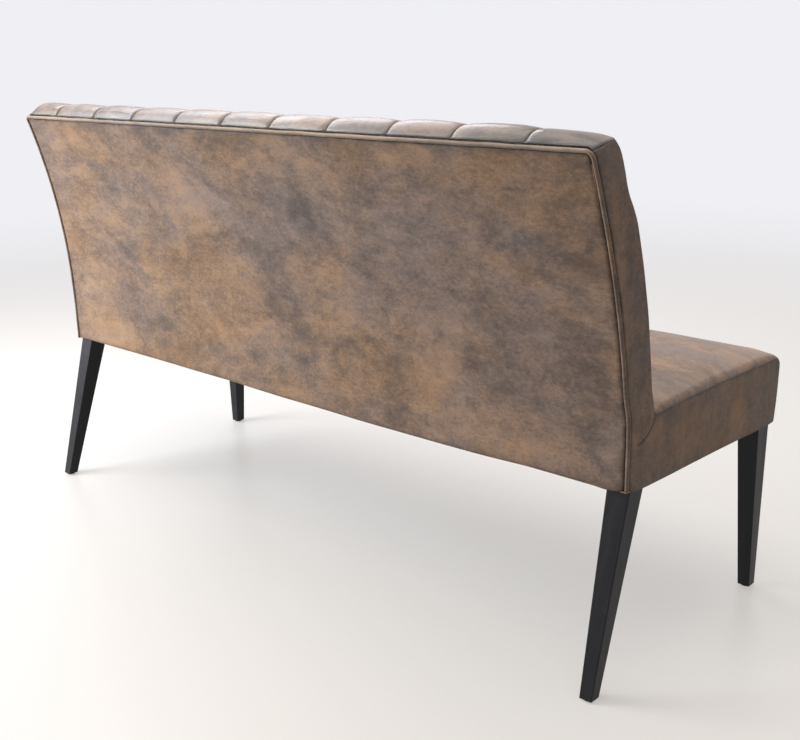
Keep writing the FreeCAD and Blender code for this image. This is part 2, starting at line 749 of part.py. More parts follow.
def make_back_webbing():
    """Straps along X over the front of the posts, each leaning like the posts at its own height."""
    length = value("2 * %s" % RAIL_INNER)
    lowest, highest = "(%s + back_strap_rise)" % FRAME_HIGH, "(%s - back_strap_top_drop)" % FRAME_TOP
    width = "((%s - %s) / (back_strap_count - 1) - back_strap_gap)" % (highest, lowest)
    count = int(value("back_strap_count"))
    straps = []
    for number in range(count):
        middle = between(value(lowest), value(highest), number / (count - 1))
        rise = value(width) / 2
        low = FreeCAD.Vector(0, post_front_at(middle - rise), middle - rise)
        high = FreeCAD.Vector(0, post_front_at(middle + rise), middle + rise)
        lean = math.degrees(math.atan2(high.y - low.y, high.z - low.z))
        strap = doc.addObject("Part::Box", "back_strap_%d" % number)
        bind(strap, {"Length": "2 * %s" % RAIL_INNER,
                     "Width": "strap_thickness",
                     "Height": width})
        turn = FreeCAD.Rotation(FreeCAD.Vector(1, 0, 0), -lean)
        bow = value(width) ** 2 / (8 * (value("back_bend_radius") + value(POST_FRONT)))
        sag = value("fit_gap") + bow
        seat = turn.multVec(FreeCAD.Vector(0, value("strap_thickness") + sag, 0))
        strap.Placement = FreeCAD.Placement(FreeCAD.Vector(-length / 2, low.y, low.z) - seat, turn)
        straps.append(strap)
    keep(group("back_webbing", straps), "back_webbing")


# Numbers of the back's curves, for the soft forms

bend_y = value(BEND_Y)
bend_z = value("back_bend_height")
bend_r = value("back_bend_radius")
taper_z = value(TAPER_Z)
cover = value("cover_thickness")
soft_gap = value("soft_gap")


def rear_y(depth, height):
    """Y at a depth inside the rear face, at any height."""
    return bend_y - math.sqrt((bend_r + depth) ** 2 - max(height - bend_z, 0) ** 2)


def between(start, end, share):
    return start + (end - start) * share


def post_front_at(height):
    if height <= taper_z:
        return rear_y(value(POST_FRONT), height)
    share = (height - taper_z) / (value(FRAME_TOP) - taper_z)
    return between(value(POST_TAPER_Y), value(POST_TOP_Y), share)


def half_length(height):
    """Half the length of the back at a height: it narrows evenly above the seat."""
    share = (height - value(FLARE_Z)) / value("piping_height - %s" % FLARE_Z)
    return between(value("bench_length / 2"), value(BACK_TOP_SIDE), max(share, 0))


def end_front_y(height):
    """Y of the front edge of the back's end at a height."""
    tuck_z = value(TUCK_Z)
    thickness = value("back_thickness")
    if height < tuck_z:
        radius = value("tuck_radius")
        return rear_y(thickness, tuck_z) + radius - math.sqrt(radius ** 2 - (tuck_z - height) ** 2)
    if height <= taper_z:
        return rear_y(thickness, height)
    share = (height - taper_z) / (value(EDGE_Z) - taper_z)
    return between(rear_y(thickness, taper_z), value(EDGE_FRONT_Y), share)


# Soft forms: sections that stand on a front-facing level plane or fan out over the top rail

TUCK_SHARES = (0.75, 0.55, 0.3)
FRONT_STEPS = 7
TAPER_STEPS = 3
FAN_STEPS = 11
REAR_FAN_STEPS = 3
RISE_SKEW_SHARE = 1.3
SHOULDER_SHARE = 0.75
webbing_room = value("strap_thickness + webbing_gap")
fan_radius = value("strap_thickness")
fan_y = post_front_at(value(FRAME_TOP)) - webbing_room + fan_radius
fan_z = value(FRAME_TOP) + soft_gap
piping_y = rear_y(value("piping_inset"), value("piping_height"))


class Section:
    """A plane through a point, along X and one direction in which distances are measured."""

    def __init__(self, height, angle):
        self.height = height
        self.angle = angle
        self.along = FreeCAD.Vector(0, -math.cos(angle), math.sin(angle))

    def point(self, x, distance):
        return FreeCAD.Vector(x, fan_y, self.height) + self.along * distance

    def end_point(self, side, distance, inset):
        height = self.height + self.along.z * distance
        return self.point(side * (half_length(height) - inset), distance)


def ray_to_line(along, start, end):
    """Distance from the fan's centre, along a direction, to the line through two (Y, Z) points."""
    line_y, line_z = end[0] - start[0], end[1] - start[1]
    cross = along.y * line_z - along.z * line_y
    return ((start[0] - fan_y) * line_z - (start[1] - fan_z) * line_y) / cross


def end_distance(section):
    """How far the outline of the back's end is from the section's centre."""
    if section.angle == 0:
        return fan_y - end_front_y(section.height)
    corner = (value(EDGE_FRONT_Y), value(EDGE_Z))
    front_foot = (rear_y(value("back_thickness"), taper_z), taper_z)
    rear_corner = (rear_y(0, value(REAR_EDGE_Z)), value(REAR_EDGE_Z))
    reach = [ray_to_line(section.along, front_foot, corner), ray_to_line(section.along, corner, rear_corner)]
    return min(distance for distance in reach if distance > 0)


def cover_end_angle():
    """The angle at which the channelled cover meets the piping."""
    away_y, away_z = piping_y - fan_y, value("piping_height") - fan_z
    middle = math.pi - math.atan2(away_z, away_y)
    return middle - math.asin((value("piping_diameter") / 2 + soft_gap) / math.hypot(away_y, away_z))


def upright_sections():
    """Level sections up the front of the back, from the tuck above the seat to the top rail."""
    tuck_z, radius = value(TUCK_Z), value("tuck_radius")
    heights = [tuck_z - radius * share for share in TUCK_SHARES]
    heights += [between(tuck_z, taper_z, step / FRONT_STEPS) for step in range(FRONT_STEPS)]
    heights += [between(taper_z, fan_z, step / TAPER_STEPS) for step in range(TAPER_STEPS)]
    return [Section(height, 0) for height in heights]


def top_sections():
    """Sections that fan out over the top rail, from the front to the piping."""
    return [Section(fan_z, cover_end_angle() * step / FAN_STEPS) for step in range(FAN_STEPS + 1)]


def rear_sections():
    """The last sections of the foam, from the piping down to the rear of the top rail."""
    shares = [step / REAR_FAN_STEPS for step in range(1, REAR_FAN_STEPS + 1)]
    return [Section(fan_z, between(cover_end_angle(), math.pi, share)) for share in shares]


def swell(section):
    """The rise of the top above its end outline, and how far a channel stands over its seams."""
    puff = value("channel_puff")
    if section.angle == 0:
        sunk = max(value(TUCK_Z) - section.height, 0) / value("tuck_radius")
        return 0, puff * math.sqrt(1 - sunk ** 2)
    share = min(section.angle / cover_end_angle(), 1)
    rise = value("back_top_rise") * math.sin(math.pi * share ** RISE_SKEW_SHARE)
    return rise, between(puff, value("channel_top_puff"), share) * (1 - share ** 2) + soft_gap / 2


def seam_places():
    count = int(value("channel_count"))
    pitch = value("(bench_length - 2 * channel_end_extra) / channel_count")
    return [(number - count / 2) * pitch for number in range(count - 1, 0, -1)]


def channel_arc(section, start, end, middle_x, middle_distance):
    return Part.Arc(start, section.point(middle_x, middle_distance), end).toShape()


def quilt_edges(section, distance, shrink, inset, channelled):
    """The edges of one section's outer side, from the left end to the right end."""
    rise, puff = swell(section)
    low, high = distance - shrink, distance + rise - shrink
    seams = seam_places()
    middle = distance + SHOULDER_SHARE * rise + puff - shrink
    left_seam, right_seam = section.point(seams[0], high), section.point(seams[-1], high)
    left_end, right_end = section.end_point(1, low, inset), section.end_point(-1, low, inset)
    edges = [channel_arc(section, left_end, left_seam, (left_end.x + seams[0]) / 2, middle)]
    if channelled:
        for near, far in zip(seams, seams[1:]):
            ends = section.point(near, high), section.point(far, high)
            edges.append(channel_arc(section, *ends, (near + far) / 2, high + puff))
    else:
        edges.append(Part.makeLine(left_seam, right_seam))
    edges.append(channel_arc(section, right_seam, right_end, (right_end.x + seams[-1]) / 2, middle))
    return edges


def closed_wire(groups):
    """Join chains of edges, one after the other, into one closed wire."""
    edges = [edge for chain in groups for edge in chain]
    return Part.Wire(Part.__sortEdges__(edges))


def soft_piece(label, wires, ruled=True):
    item = doc.addObject("Part::Feature", label)
    item.Shape = Part.makeLoft(wires, True, ruled)
    return keep(item, label)


def back_cover_wire(section):
    distance = end_distance(section)
    thickness = value("quilting_thickness")
    outer = quilt_edges(section, distance, 0, cover, True)
    inner = quilt_edges(section, distance, thickness, cover, False)
    left, right = [Part.makeLine(section.end_point(side, distance, cover),
                                 section.end_point(side, distance - thickness, cover))
                   for side in SIDES.values()]
    return closed_wire([outer, [right], inner, [left]])


def make_back_cover():
    soft_piece("back_cover", [back_cover_wire(section) for section in upright_sections() + top_sections()])


def foam_inset(section):
    """The foam keeps clear of the piping's round corners at the rear of the top."""
    plain = cover + soft_gap
    share = (section.angle - math.pi / 2) / (cover_end_angle() - math.pi / 2)
    return between(plain, plain + value("piping_corner_radius + piping_diameter"), min(max(share, 0), 1))


def back_foam_wire(section):
    """A section of the foam: past the channelled cover it runs down to the rear of the top rail."""
    shrink = value("quilting_thickness") + soft_gap
    last = cover_end_angle()
    inset = foam_inset(section)
    if section.angle <= last:
        outer = quilt_edges(section, end_distance(section), shrink, inset, False)
    else:
        at_cover = end_distance(Section(fan_z, last)) - shrink
        at_board = rear_y(cover + soft_gap, fan_z) - fan_y
        distance = between(at_cover, at_board, (section.angle - last) / (math.pi - last))
        outer = quilt_edges(section, distance, 0, inset, False)
    if section.angle == 0:
        inside = fan_y - (post_front_at(section.height) - webbing_room)
    else:
        inside = fan_radius
    left, right = section.end_point(1, inside, inset), section.end_point(-1, inside, inset)
    inner = [Part.makeLine(outer[-1].Vertexes[-1].Point, right),
             Part.makeLine(right, left),
             Part.makeLine(left, outer[0].Vertexes[0].Point)]
    return closed_wire([outer, inner])


def make_back_foam():
    sections = upright_sections() + top_sections() + rear_sections()
    soft_piece("back_foam", [back_foam_wire(section) for section in sections])


def make_back_end_padding(side_name):
    """Foam beside an end post, under the end of the back."""
    side = SIDES[side_name]
    low = value(CLOTH_HIGH) + soft_gap
    inner = value(RAIL_INNER) + soft_gap
    heights = [between(low, taper_z, step / FRONT_STEPS) for step in range(FRONT_STEPS + 1)]
    top = value(FRAME_TOP)
    heights += [between(taper_z, top, step / TAPER_STEPS) for step in range(1, TAPER_STEPS + 1)]
    wires = []
    for height in heights:
        outer = half_length(height) - cover - soft_gap
        beside_cord = half_length(height) - value(SIDE_COVER_REAR)
        front = post_front_at(height) - webbing_room + soft_gap
        before_cord = rear_y(value(SIDE_COVER_REAR), height)
        rear = rear_y(value(POST_REAR) + soft_gap, height)
        corners = [(inner, front), (outer, front), (outer, before_cord), (beside_cord, before_cord),
                   (beside_cord, rear), (inner, rear), (inner, front)]
        wires.append(Part.makePolygon([FreeCAD.Vector(side * x, y, height) for x, y in corners]))
    soft_piece("back_end_padding_" + side_name, wires)


# Seat foam and covers

STATION_SHARES = (0, 0.3, 0.7, 1.2, 2, 3.5)
seat_front_y = value(SEAT_FRONT)
seat_corner = value("seat_corner_radius")
seat_rear_y = rear_y(value("back_thickness + channel_puff + 2 * soft_gap"), value(TUCK_Z))
full_front_z = value("hem_height + seat_draw_in_height")


def seat_stations(half):
    """X places along the seat: close together where its crown falls to the end seams."""
    left = [half - share * value("seat_shoulder") for share in STATION_SHARES]
    return left + [0] + [-x for x in reversed(left)]


def seat_heights(x, half):
    """Heights of the seat's front top edge, its middle and its rear at a place along X."""
    share = 1 - math.exp(-(half - abs(x)) / value("seat_shoulder"))
    front = value(SEAT_EDGE) + value("seat_front_rise") * share
    rear = value(SEAT_REAR) + value("seat_rear_rise") * share
    level = value("%s - seat_rear_fall / 2 + seat_seam_bulge" % SEAT_EDGE)
    return front, level + value("seat_crown_rise") * share, rear


def seat_top_edges(x, half, inset):
    """The round front corner and the crown of one seat section, an inset inside its surface."""
    front_z, middle_z, rear_z = seat_heights(x, half)
    radius = seat_corner - inset
    centre = FreeCAD.Vector(x, seat_front_y + seat_corner, front_z - seat_corner)
    slant = radius * math.sqrt(0.5)
    low = centre + FreeCAD.Vector(0, -radius, 0)
    high = centre + FreeCAD.Vector(0, 0, radius)
    rear = FreeCAD.Vector(x, seat_rear_y - inset, rear_z - inset)
    middle = FreeCAD.Vector(x, (high.y + rear.y) / 2, middle_z - inset)
    corner_arc = Part.Arc(low, centre + FreeCAD.Vector(0, -slant, slant), high).toShape()
    return low, [corner_arc, Part.Arc(high, middle, rear).toShape()], rear


def line_chain(points):
    return [Part.makeLine(start, end) for start, end in zip(points, points[1:])]


def hem_points(x, inset, top_point):
    """The front face below the round corner: upright, then drawn in towards the hem."""
    hem = FreeCAD.Vector(x, seat_front_y + value("seat_hem_draw_in") + inset, value("hem_height"))
    return [hem, FreeCAD.Vector(x, seat_front_y + inset, full_front_z), top_point]


def seat_cover_wire(x, half):
    outer_low, outer_top, outer_rear = seat_top_edges(x, half, 0)
    inner_low, inner_top, inner_rear = seat_top_edges(x, half, cover)
    outer_hem, inner_hem = hem_points(x, 0, outer_low), hem_points(x, cover, inner_low)
    tail_z = outer_rear.z - value("seat_cover_tail")
    tail = [outer_rear, FreeCAD.Vector(x, outer_rear.y, tail_z),
            FreeCAD.Vector(x, inner_rear.y, tail_z), inner_rear]
    return closed_wire([line_chain(outer_hem), outer_top, line_chain(tail), inner_top,
                        line_chain(list(reversed(inner_hem)) + [outer_hem[0]])])


def seat_foam_wire(x, half):
    inset = cover + soft_gap
    low, top, rear = seat_top_edges(x, half, inset)
    floor = value(CLOTH_HIGH) + soft_gap
    drawn_in = value("seat_hem_draw_in") * max(full_front_z - floor, 0) / value("seat_draw_in_height")
    rest = [rear, FreeCAD.Vector(x, rear.y, floor), FreeCAD.Vector(x, low.y + drawn_in, floor), low]
    return closed_wire([top, line_chain(rest)])


def make_seat_foam():
    half = value("bench_length / 2 - cover_thickness - soft_gap")
    soft_piece("seat_foam", [seat_foam_wire(x, half) for x in seat_stations(half)])


LEG_INNER = "(bench_length / 2 - leg_outer_inset - leg_top_size - soft_gap)"
FRONT_LEG_BACK = "(%s + leg_top_size / 2 + soft_gap)" % LEG_Y["front"]
REAR_LEG_FRONT = "(%s - leg_top_size / 2 - soft_gap)" % LEG_Y["rear"]
HEM_Y = "(%s + seat_hem_draw_in)" % SEAT_FRONT


def hem_fold(name, x, y):
    """The strip of a cover that is folded under the frame."""
    return box(name + "_fold", x, y, ("hem_height", FRAME_LOW))


def make_seat_cover():
    """Top and front of the seat in one panel, its rear end tucked down before the back."""
    half = value("bench_length / 2 - cover_thickness")
    panel = doc.addObject("Part::Feature", "seat_cover_panel")
    panel.Shape = Part.makeLoft([seat_cover_wire(x, half) for x in seat_stations(half)], True, True)
    fold = hem_fold("seat_cover", ("-%s" % LEG_INNER, LEG_INNER),
                    ("%s + cover_thickness / 2" % HEM_Y, "%s + cover_thickness + hem_return" % HEM_Y))
    keep(fused("seat_cover_whole", [panel, fold]), "seat_cover")


def make_front_padding():
    """The wedge of foam between the front rail and the front of the cover."""
    def face(height):
        below = "(hem_height + seat_draw_in_height - %s)" % height
        drawn_in = "seat_hem_draw_in * %s / seat_draw_in_height" % below
        return "(%s + cover_thickness + soft_gap + %s)" % (SEAT_FRONT, drawn_in)

    half = "(bench_length / 2 - cover_thickness - soft_gap)"
    back = "(%s - fit_gap)" % RAIL_FRONT
    outline = [(face(FRAME_LOW), FRAME_LOW), (back, FRAME_LOW),
               (back, CLOTH_HIGH), (face(CLOTH_HIGH), CLOTH_HIGH)]
    keep(slab("seat_front_padding_body", "x", "-%s" % half, half, outline), "seat_front_padding")


def make_side_padding(side_name):
    span = mirrored((FRAME_SIDE, "%s + side_padding" % FRAME_SIDE), SIDES[side_name])
    padding = box("side_padding_" + side_name, span,
                  (RAIL_FRONT, upright(SIDE_COVER_REAR)), (FRAME_LOW, CLOTH_HIGH))
    keep(padding, "seat_side_padding_" + side_name)


def side_view():
    """Side view of the bench's upholstery: the outline of a side cover."""
    rear = SIDE_COVER_REAR
    crease_y = bent("back_thickness", SEAT_REAR)
    corner_y = "(%s + seat_corner_radius)" % SEAT_FRONT
    chord_square = "((%s - %s)^2 + seat_rear_fall^2)" % (crease_y, corner_y)
    seam_radius = "(%s / (8 * seat_seam_bulge) + seat_seam_bulge / 2)" % chord_square
    return [
        (HEM_Y, "hem_height"),
        (upright(rear), "hem_height"),
        (upright(rear), "back_bend_height", bend_radius(rear), -1),
        (bent(rear, REAR_EDGE_Z), REAR_EDGE_Z),
        (EDGE_FRONT_Y, EDGE_Z),
        (bent("back_thickness", TAPER_Z), TAPER_Z, bend_radius("back_thickness"), 1),
        (crease_y, SEAT_REAR, seam_radius, 1),
        (corner_y, SEAT_EDGE, "seat_corner_radius", 1),
        (SEAT_FRONT, "%s - seat_corner_radius" % SEAT_EDGE),
        (SEAT_FRONT, "hem_height + seat_draw_in_height"),
    ]


def make_side_cover(side_name):
    """End of the back and end of the seat in one panel, with the tuck where the back meets the seat."""
    side = SIDES[side_name]
    name = "side_cover_" + side_name
    inner = "(%s - 2 * cover_thickness - side_padding)" % BACK_TOP_SIDE
    view = slab(name + "_view", "x", *mirrored((inner, "bench_length / 2"), side), side_view())
    top = "(%s + cover_thickness)" % EDGE_Z
    top_x = "(bench_length / 2 - (%s - %s) * %s)" % (top, FLARE_Z, FLARE_SLOPE)
    profile = [("bench_length / 2", "hem_height"), ("bench_length / 2", FLARE_Z), (top_x, top),
               ("%s - cover_thickness" % top_x, top), ("bench_length / 2 - cover_thickness", FLARE_Z),
               ("bench_length / 2 - cover_thickness", "hem_height")]
    if side < 0:
        profile = [("-(%s)" % x, z) for x, z in reversed(profile)]
    sheet_body = slab(name + "_sheet", "y", SEAT_FRONT, "bench_depth / 2", profile)
    panel = common(name + "_panel", view, sheet_body)
    fold = hem_fold(name, mirrored(("bench_length / 2 - cover_thickness - hem_return",
                                    "bench_length / 2 - cover_thickness / 2"), side),
                    (FRONT_LEG_BACK, REAR_LEG_FRONT))
    tuck_y = "(%s + tuck_radius)" % bent("back_thickness", TUCK_Z)
    span = mirrored((inner, "bench_length / 2"), side)
    rings = []
    for label, radius in (("outer", "tuck_radius + tuck_slit / 2"),
                          ("inner", "tuck_radius - tuck_slit / 2")):
        rings.append(rod("%s_tuck_%s" % (name, label), "x", *span, (tuck_y, TUCK_Z), radius))
    ring = cut(name + "_ring", rings[0], [rings[1]])
    quarter = box(name + "_quarter", span, ("%s - 2 * tuck_radius" % tuck_y, tuck_y),
                  ("%s - 2 * tuck_radius" % TUCK_Z, TUCK_Z))
    slit = common(name + "_slit", ring, quarter)
    keep(cut(name, fused(name + "_joined", [panel, fold]), [slit]), name)


def make_rear_cover():
    """The smooth rear panel, bent like the board and rounded at its two top corners."""
    high = "(piping_height - piping_diameter / 2 - soft_gap)"
    view = slab("rear_cover_view", "x", "-bench_length / 2", "bench_length / 2",
                rear_sheet_outline("0", "cover_thickness", "hem_height", high))
    edge = "(piping_inset + piping_diameter / 2 + soft_gap)"
    low_x = "(bench_length / 2 - %s)" % edge
    radius = "(piping_corner_radius - piping_diameter / 2)"
    side_z = "(%s - %s)" % (high, radius)
    side_x = "(%s - (%s - %s) * %s)" % (low_x, side_z, FLARE_Z, FLARE_SLOPE)
    turn_x = "(%s - %s)" % (side_x, radius)
    outline = [
        ("-%s" % low_x, "hem_height"), (low_x, "hem_height"), (low_x, FLARE_Z),
        (side_x, side_z, radius, 1), (turn_x, high),
        ("-%s" % turn_x, high, radius, 1), ("-%s" % side_x, side_z), ("-%s" % low_x, FLARE_Z),
    ]
    front = slab("rear_cover_front", "y", "-bench_depth / 2", "bench_depth / 2", outline)
    panel = common("rear_cover_panel", view, front)
    fold = hem_fold("rear_cover", ("-%s" % LEG_INNER, LEG_INNER),
                    ("%s - hem_return" % upright("cover_thickness"), upright("cover_thickness / 2")))
    keep(fused("rear_cover_whole", [panel, fold]), "rear_cover")


# Piping: one cord up the right end, over the top and down the left end

PIPING_STRAIGHT_STEPS = 2
PIPING_SIDE_STEPS = 16
PIPING_CORNER_STEPS = 8
PIPING_TOP_STEPS = 2


def piping_point(height, inward=0):
    """A point on the cord's run beside the rear panel's left end."""
    inset = value("piping_inset")
    return FreeCAD.Vector(half_length(height) - inset - inward, rear_y(inset, height), height)


def piping_left_half():
    """Centre points of the left half of the cord, from the hem to the middle of the top."""
    radius = value("piping_corner_radius")
    corner_low = value("piping_height") - radius
    points = [piping_point(between(value("hem_height"), bend_z, step / PIPING_STRAIGHT_STEPS))
              for step in range(PIPING_STRAIGHT_STEPS)]
    shares = [step / PIPING_SIDE_STEPS for step in range(PIPING_SIDE_STEPS)]
    points += [piping_point(between(bend_z, corner_low, share)) for share in shares]
    for step in range(PIPING_CORNER_STEPS + 1):
        angle = math.pi / 2 * step / PIPING_CORNER_STEPS
        points.append(piping_point(corner_low + radius * math.sin(angle), radius * (1 - math.cos(angle))))
    last_x = points[-1].x
    for step in range(1, PIPING_TOP_STEPS + 1):
        points.append(FreeCAD.Vector(last_x * (1 - step / PIPING_TOP_STEPS), points[-1].y, points[-1].z))
    return points


def make_piping():
    left = piping_left_half()
    points = left + [FreeCAD.Vector(-point.x, point.y, point.z) for point in reversed(left[:-1])]
    radius = value("piping_diameter") / 2
    wires = []
    for index, point in enumerate(points):
        if index in (0, len(points) - 1):
            along = FreeCAD.Vector(0, 0, 1 if index == 0 else -1)
        else:
            along = (points[index + 1] - points[index - 1]).normalize()
        lean = math.asin(max(point.z - bend_z, 0) / (bend_r + value("piping_inset")))
        rearward = FreeCAD.Vector(0, math.cos(lean), -math.sin(lean))
        ring = Part.Wire(Part.makeCircle(radius))
        turn = FreeCAD.Rotation(rearward, along.cross(rearward), along, "ZXY")
        ring.Placement = FreeCAD.Placement(point, turn)
        wires.append(ring)
    soft_piece("rear_piping", wires)


def make_dust_cover():
    """The thin black cloth below the seat, notched for the four legs."""
    side = "(bench_length / 2 - dust_cover_inset)"
    front = "(%s + dust_cover_inset)" % HEM_Y
    rear = "(%s - dust_cover_inset)" % upright("0")
    left_half = [(LEG_INNER, front), (LEG_INNER, FRONT_LEG_BACK), (side, FRONT_LEG_BACK),
                 (side, REAR_LEG_FRONT), (LEG_INNER, REAR_LEG_FRONT), (LEG_INNER, rear)]
    outline = left_half + [("-%s" % x, y) for x, y in reversed(left_half)]
    cloth = slab("dust_cover_body", "z", "hem_height - dust_cover_thickness", "hem_height", outline)
    keep(cloth, "dust_cover")


for side_name in SIDES:
    for end in ENDS:
        make_leg(side_name, end)
        make_glide(side_name, end)
        make_corner_block(side_name, end)
    make_side_rail(side_name)
    make_cross_rail(side_name)
    make_end_post(side_name)
    make_inner_post(side_name)
    make_back_end_padding(side_name)
    make_side_padding(side_name)
    make_side_cover(side_name)
for end in ENDS:
    make_cross_way_rail(end)
make_fasteners()
make_top_rail()
make_bay_rails("back_middle_rail", MIDDLE_RAIL_LOW)
make_bay_rails("back_lower_rail", "lower_rail_height")
make_rear_board()
make_seat_webbing()
make_support_cloth()
make_back_webbing()
make_seat_foam()
make_front_padding()
make_back_foam()
make_seat_cover()
make_back_cover()
make_rear_cover()
make_piping()
make_dust_cover()
doc.recompute()

for item in doc.Objects:
    if "Invalid" in item.State or "Error" in item.State:
        raise RuntimeError("%s failed: %s" % (item.Label, item.State))
for item in pieces:
    if item.Shape.isNull() or not item.Shape.isValid():
        raise RuntimeError("%s has no valid shape" % item.Label)
    if not item.Shape.Solids or item.Shape.Volume <= 0:
        raise RuntimeError("%s has no solid" % item.Label)

os.makedirs("parts", exist_ok=True)
for item in pieces:
    item.Shape.exportStep("parts/%s.step" % item.Label)
    print("%-28s solids %2d  volume %.0f" % (item.Label, len(item.Shape.Solids), item.Shape.Volume))
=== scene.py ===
import bmesh
import bpy
import json
import math
from mathutils import Matrix, Vector, noise


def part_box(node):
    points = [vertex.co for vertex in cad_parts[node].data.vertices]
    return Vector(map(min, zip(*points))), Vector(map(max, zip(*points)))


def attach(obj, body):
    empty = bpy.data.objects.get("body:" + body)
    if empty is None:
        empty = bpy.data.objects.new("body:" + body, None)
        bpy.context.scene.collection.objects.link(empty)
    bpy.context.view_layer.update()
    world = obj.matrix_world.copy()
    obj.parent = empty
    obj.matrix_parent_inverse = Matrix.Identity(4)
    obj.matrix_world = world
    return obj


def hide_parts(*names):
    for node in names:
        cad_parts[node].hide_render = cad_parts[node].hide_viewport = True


# An upholstered banquette bench: sewn covers in a distressed leather-look microfibre over foam, a piped
# smooth rear panel, a channelled back, tapered black legs. Metres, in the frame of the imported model:
# X runs along the bench towards the sitter's left, Y towards the rear panel, Z up from the floor.
# A side is 1 for the left half and -1 for the right half.

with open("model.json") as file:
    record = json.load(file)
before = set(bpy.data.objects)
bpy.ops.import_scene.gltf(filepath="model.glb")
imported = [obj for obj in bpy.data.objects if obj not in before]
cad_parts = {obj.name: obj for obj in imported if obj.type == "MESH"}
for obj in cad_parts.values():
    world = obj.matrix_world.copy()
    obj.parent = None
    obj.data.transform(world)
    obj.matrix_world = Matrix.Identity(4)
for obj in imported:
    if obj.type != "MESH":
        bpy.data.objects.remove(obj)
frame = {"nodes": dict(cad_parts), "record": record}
scene = bpy.context.scene
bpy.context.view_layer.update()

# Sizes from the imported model

side_low, side_high = (Vector(corner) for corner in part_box("side_cover_left"))
dust_low, dust_high = (Vector(corner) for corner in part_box("dust_cover"))
cord_high = Vector(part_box("rear_piping")[1])
board_high = Vector(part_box("rear_board")[1])

END_X = side_high.x
HEM_Z = side_low.z
CORD_RADIUS = 0.0034
CORD_INSET = 0.0024
CORD_Z = cord_high.z - CORD_RADIUS
CORD_CORNER = {1: 0.008, -1: 0.0125}
COVER = 0.002

# The bend of the back and the lines of its end

BEND_Z = 0.398
BEND_RADIUS = 1.391
CORD_TOP_Y = 0.304
BEND_Y = CORD_TOP_Y + math.sqrt((BEND_RADIUS + CORD_INSET) ** 2 - (CORD_Z - BEND_Z) ** 2)
FLARE_Z = 0.470
TOP_HALF = {1: 0.784, -1: 0.779}
DRAWN_IN = 0.0036
EDGE_Z = 0.902
REAR_EDGE_Z = 0.893
TUCK_Z = 0.475
TUCK_RADIUS = 0.0555
TUCK_LOW_Z = 0.417
JOIN_Z = 0.457
EDGE_ROUND = 0.006

# Thickness of the end of the back, by height
EDGE_DEPTHS = ((0.475, 0.0795), (0.5175, 0.0797), (0.567, 0.0815), (0.6165, 0.083), (0.6733, 0.084),
               (0.745, 0.084), (0.7737, 0.0835), (0.7976, 0.0792), (0.8136, 0.0745), (0.829, 0.0730),
               (0.8545, 0.0735), (0.885, 0.0715), (0.902, 0.0630))

# Hem of the end panels, as (y, z): it hangs a little lower towards the front
SIDE_HEM = ((-0.2985, 0.3335), (-0.273, 0.3322), (-0.160, 0.3345), (0.036, 0.3378), (0.120, 0.3388),
            (0.166, 0.3398), (0.200, 0.3428), (0.216, 0.3452))

# Soft hollows of each panel, as (height, scale, seed)
REAR_HOLLOWS = ((0.0011, 5, 1), (0.0005, 16, 2))
BACK_HOLLOWS = ((0.0010, 9, 11), (0.0004, 28, 12))
SEAT_HOLLOWS = ((0.0012, 4, 4), (0.0007, 13, 5))
END_HOLLOWS = {side: ((0.0010, 7, 7 + side), (0.0006, 20, 8)) for side in (1, -1)}


def side_of(number):
    return 1 if number > 0 else -1


def mix(start, end, share):
    return start + (end - start) * share


def smooth(low, high, number):
    share = min(max((number - low) / (high - low), 0), 1)
    return share * share * (3 - 2 * share)


def eased(share, strength=0.8):
    """Crowd the steps of a grid towards both of its ends."""
    return mix(share, 0.5 - 0.5 * math.cos(math.pi * share), strength)


def fade(distance, width):
    """1 at a seam or an edge, dying away beside it."""
    return math.exp(-distance / width)


def ridge(distance, width, power=2):
    """1 on a line, running out on both sides of it."""
    return math.exp(-(distance / width) ** power)


def through(places, number):
    """A smooth line through (number, value) pairs, level beyond its ends."""
    if number <= places[0][0]:
        return places[0][1]
    if number >= places[-1][0]:
        return places[-1][1]
    index = max(place for place in range(len(places) - 1) if places[place][0] <= number)

    def slope(place):
        low, high = max(place - 1, 0), min(place + 1, len(places) - 1)
        return (places[high][1] - places[low][1]) / (places[high][0] - places[low][0])

    (start, low), (end, high) = places[index], places[index + 1]
    share = (number - start) / (end - start)
    return (low * (1 + 2 * share) * (1 - share) ** 2 + high * share ** 2 * (3 - 2 * share)
            + (end - start) * (slope(index) * share * (1 - share) ** 2
                               - slope(index + 1) * share ** 2 * (1 - share)))


def uneven(place, scale, seed):
    """A soft, repeatable unevenness between about -1 and 1."""
    return noise.noise(Vector(place) * scale + Vector((seed, 2 * seed, 3 * seed)))


def hollows(place, layers):
    return sum(height * uneven(place, scale, seed) for height, scale, seed in layers)


def edge_roll(distance, width, depth):
    """How far a panel sinks towards the seam at its edge."""
    if distance >= width:
        return 0
    return depth * (1 - math.sqrt(1 - (1 - max(distance, 0) / width) ** 2))


def rounded(distance, radius):
    """How far a surface falls away beside a rounded edge, at a distance from the sharp edge."""
    if distance >= radius:
        return 0
    return radius - math.sqrt(radius ** 2 - (radius - max(distance, 0)) ** 2)


def seam_dip(distance):
    """How far the cloth is drawn in right beside a sewn edge."""
    return 0.0008 * fade(distance, 0.0012)


def rear_y(depth, z):
    """The curve of the rear face, or the curve at a depth in front of it."""
    return BEND_Y - math.sqrt((BEND_RADIUS + depth) ** 2 - max(z - BEND_Z, 0) ** 2)


def half_length(z, side):
    """Half the length at a height; the back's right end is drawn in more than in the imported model."""
    half = mix(END_X, TOP_HALF[side], max((z - FLARE_Z) / (CORD_Z - FLARE_Z), 0))
    if side > 0:
        return half
    return half - DRAWN_IN * smooth(JOIN_Z, 0.505, z) * (1 - 0.35 * smooth(0.80, 0.89, z))


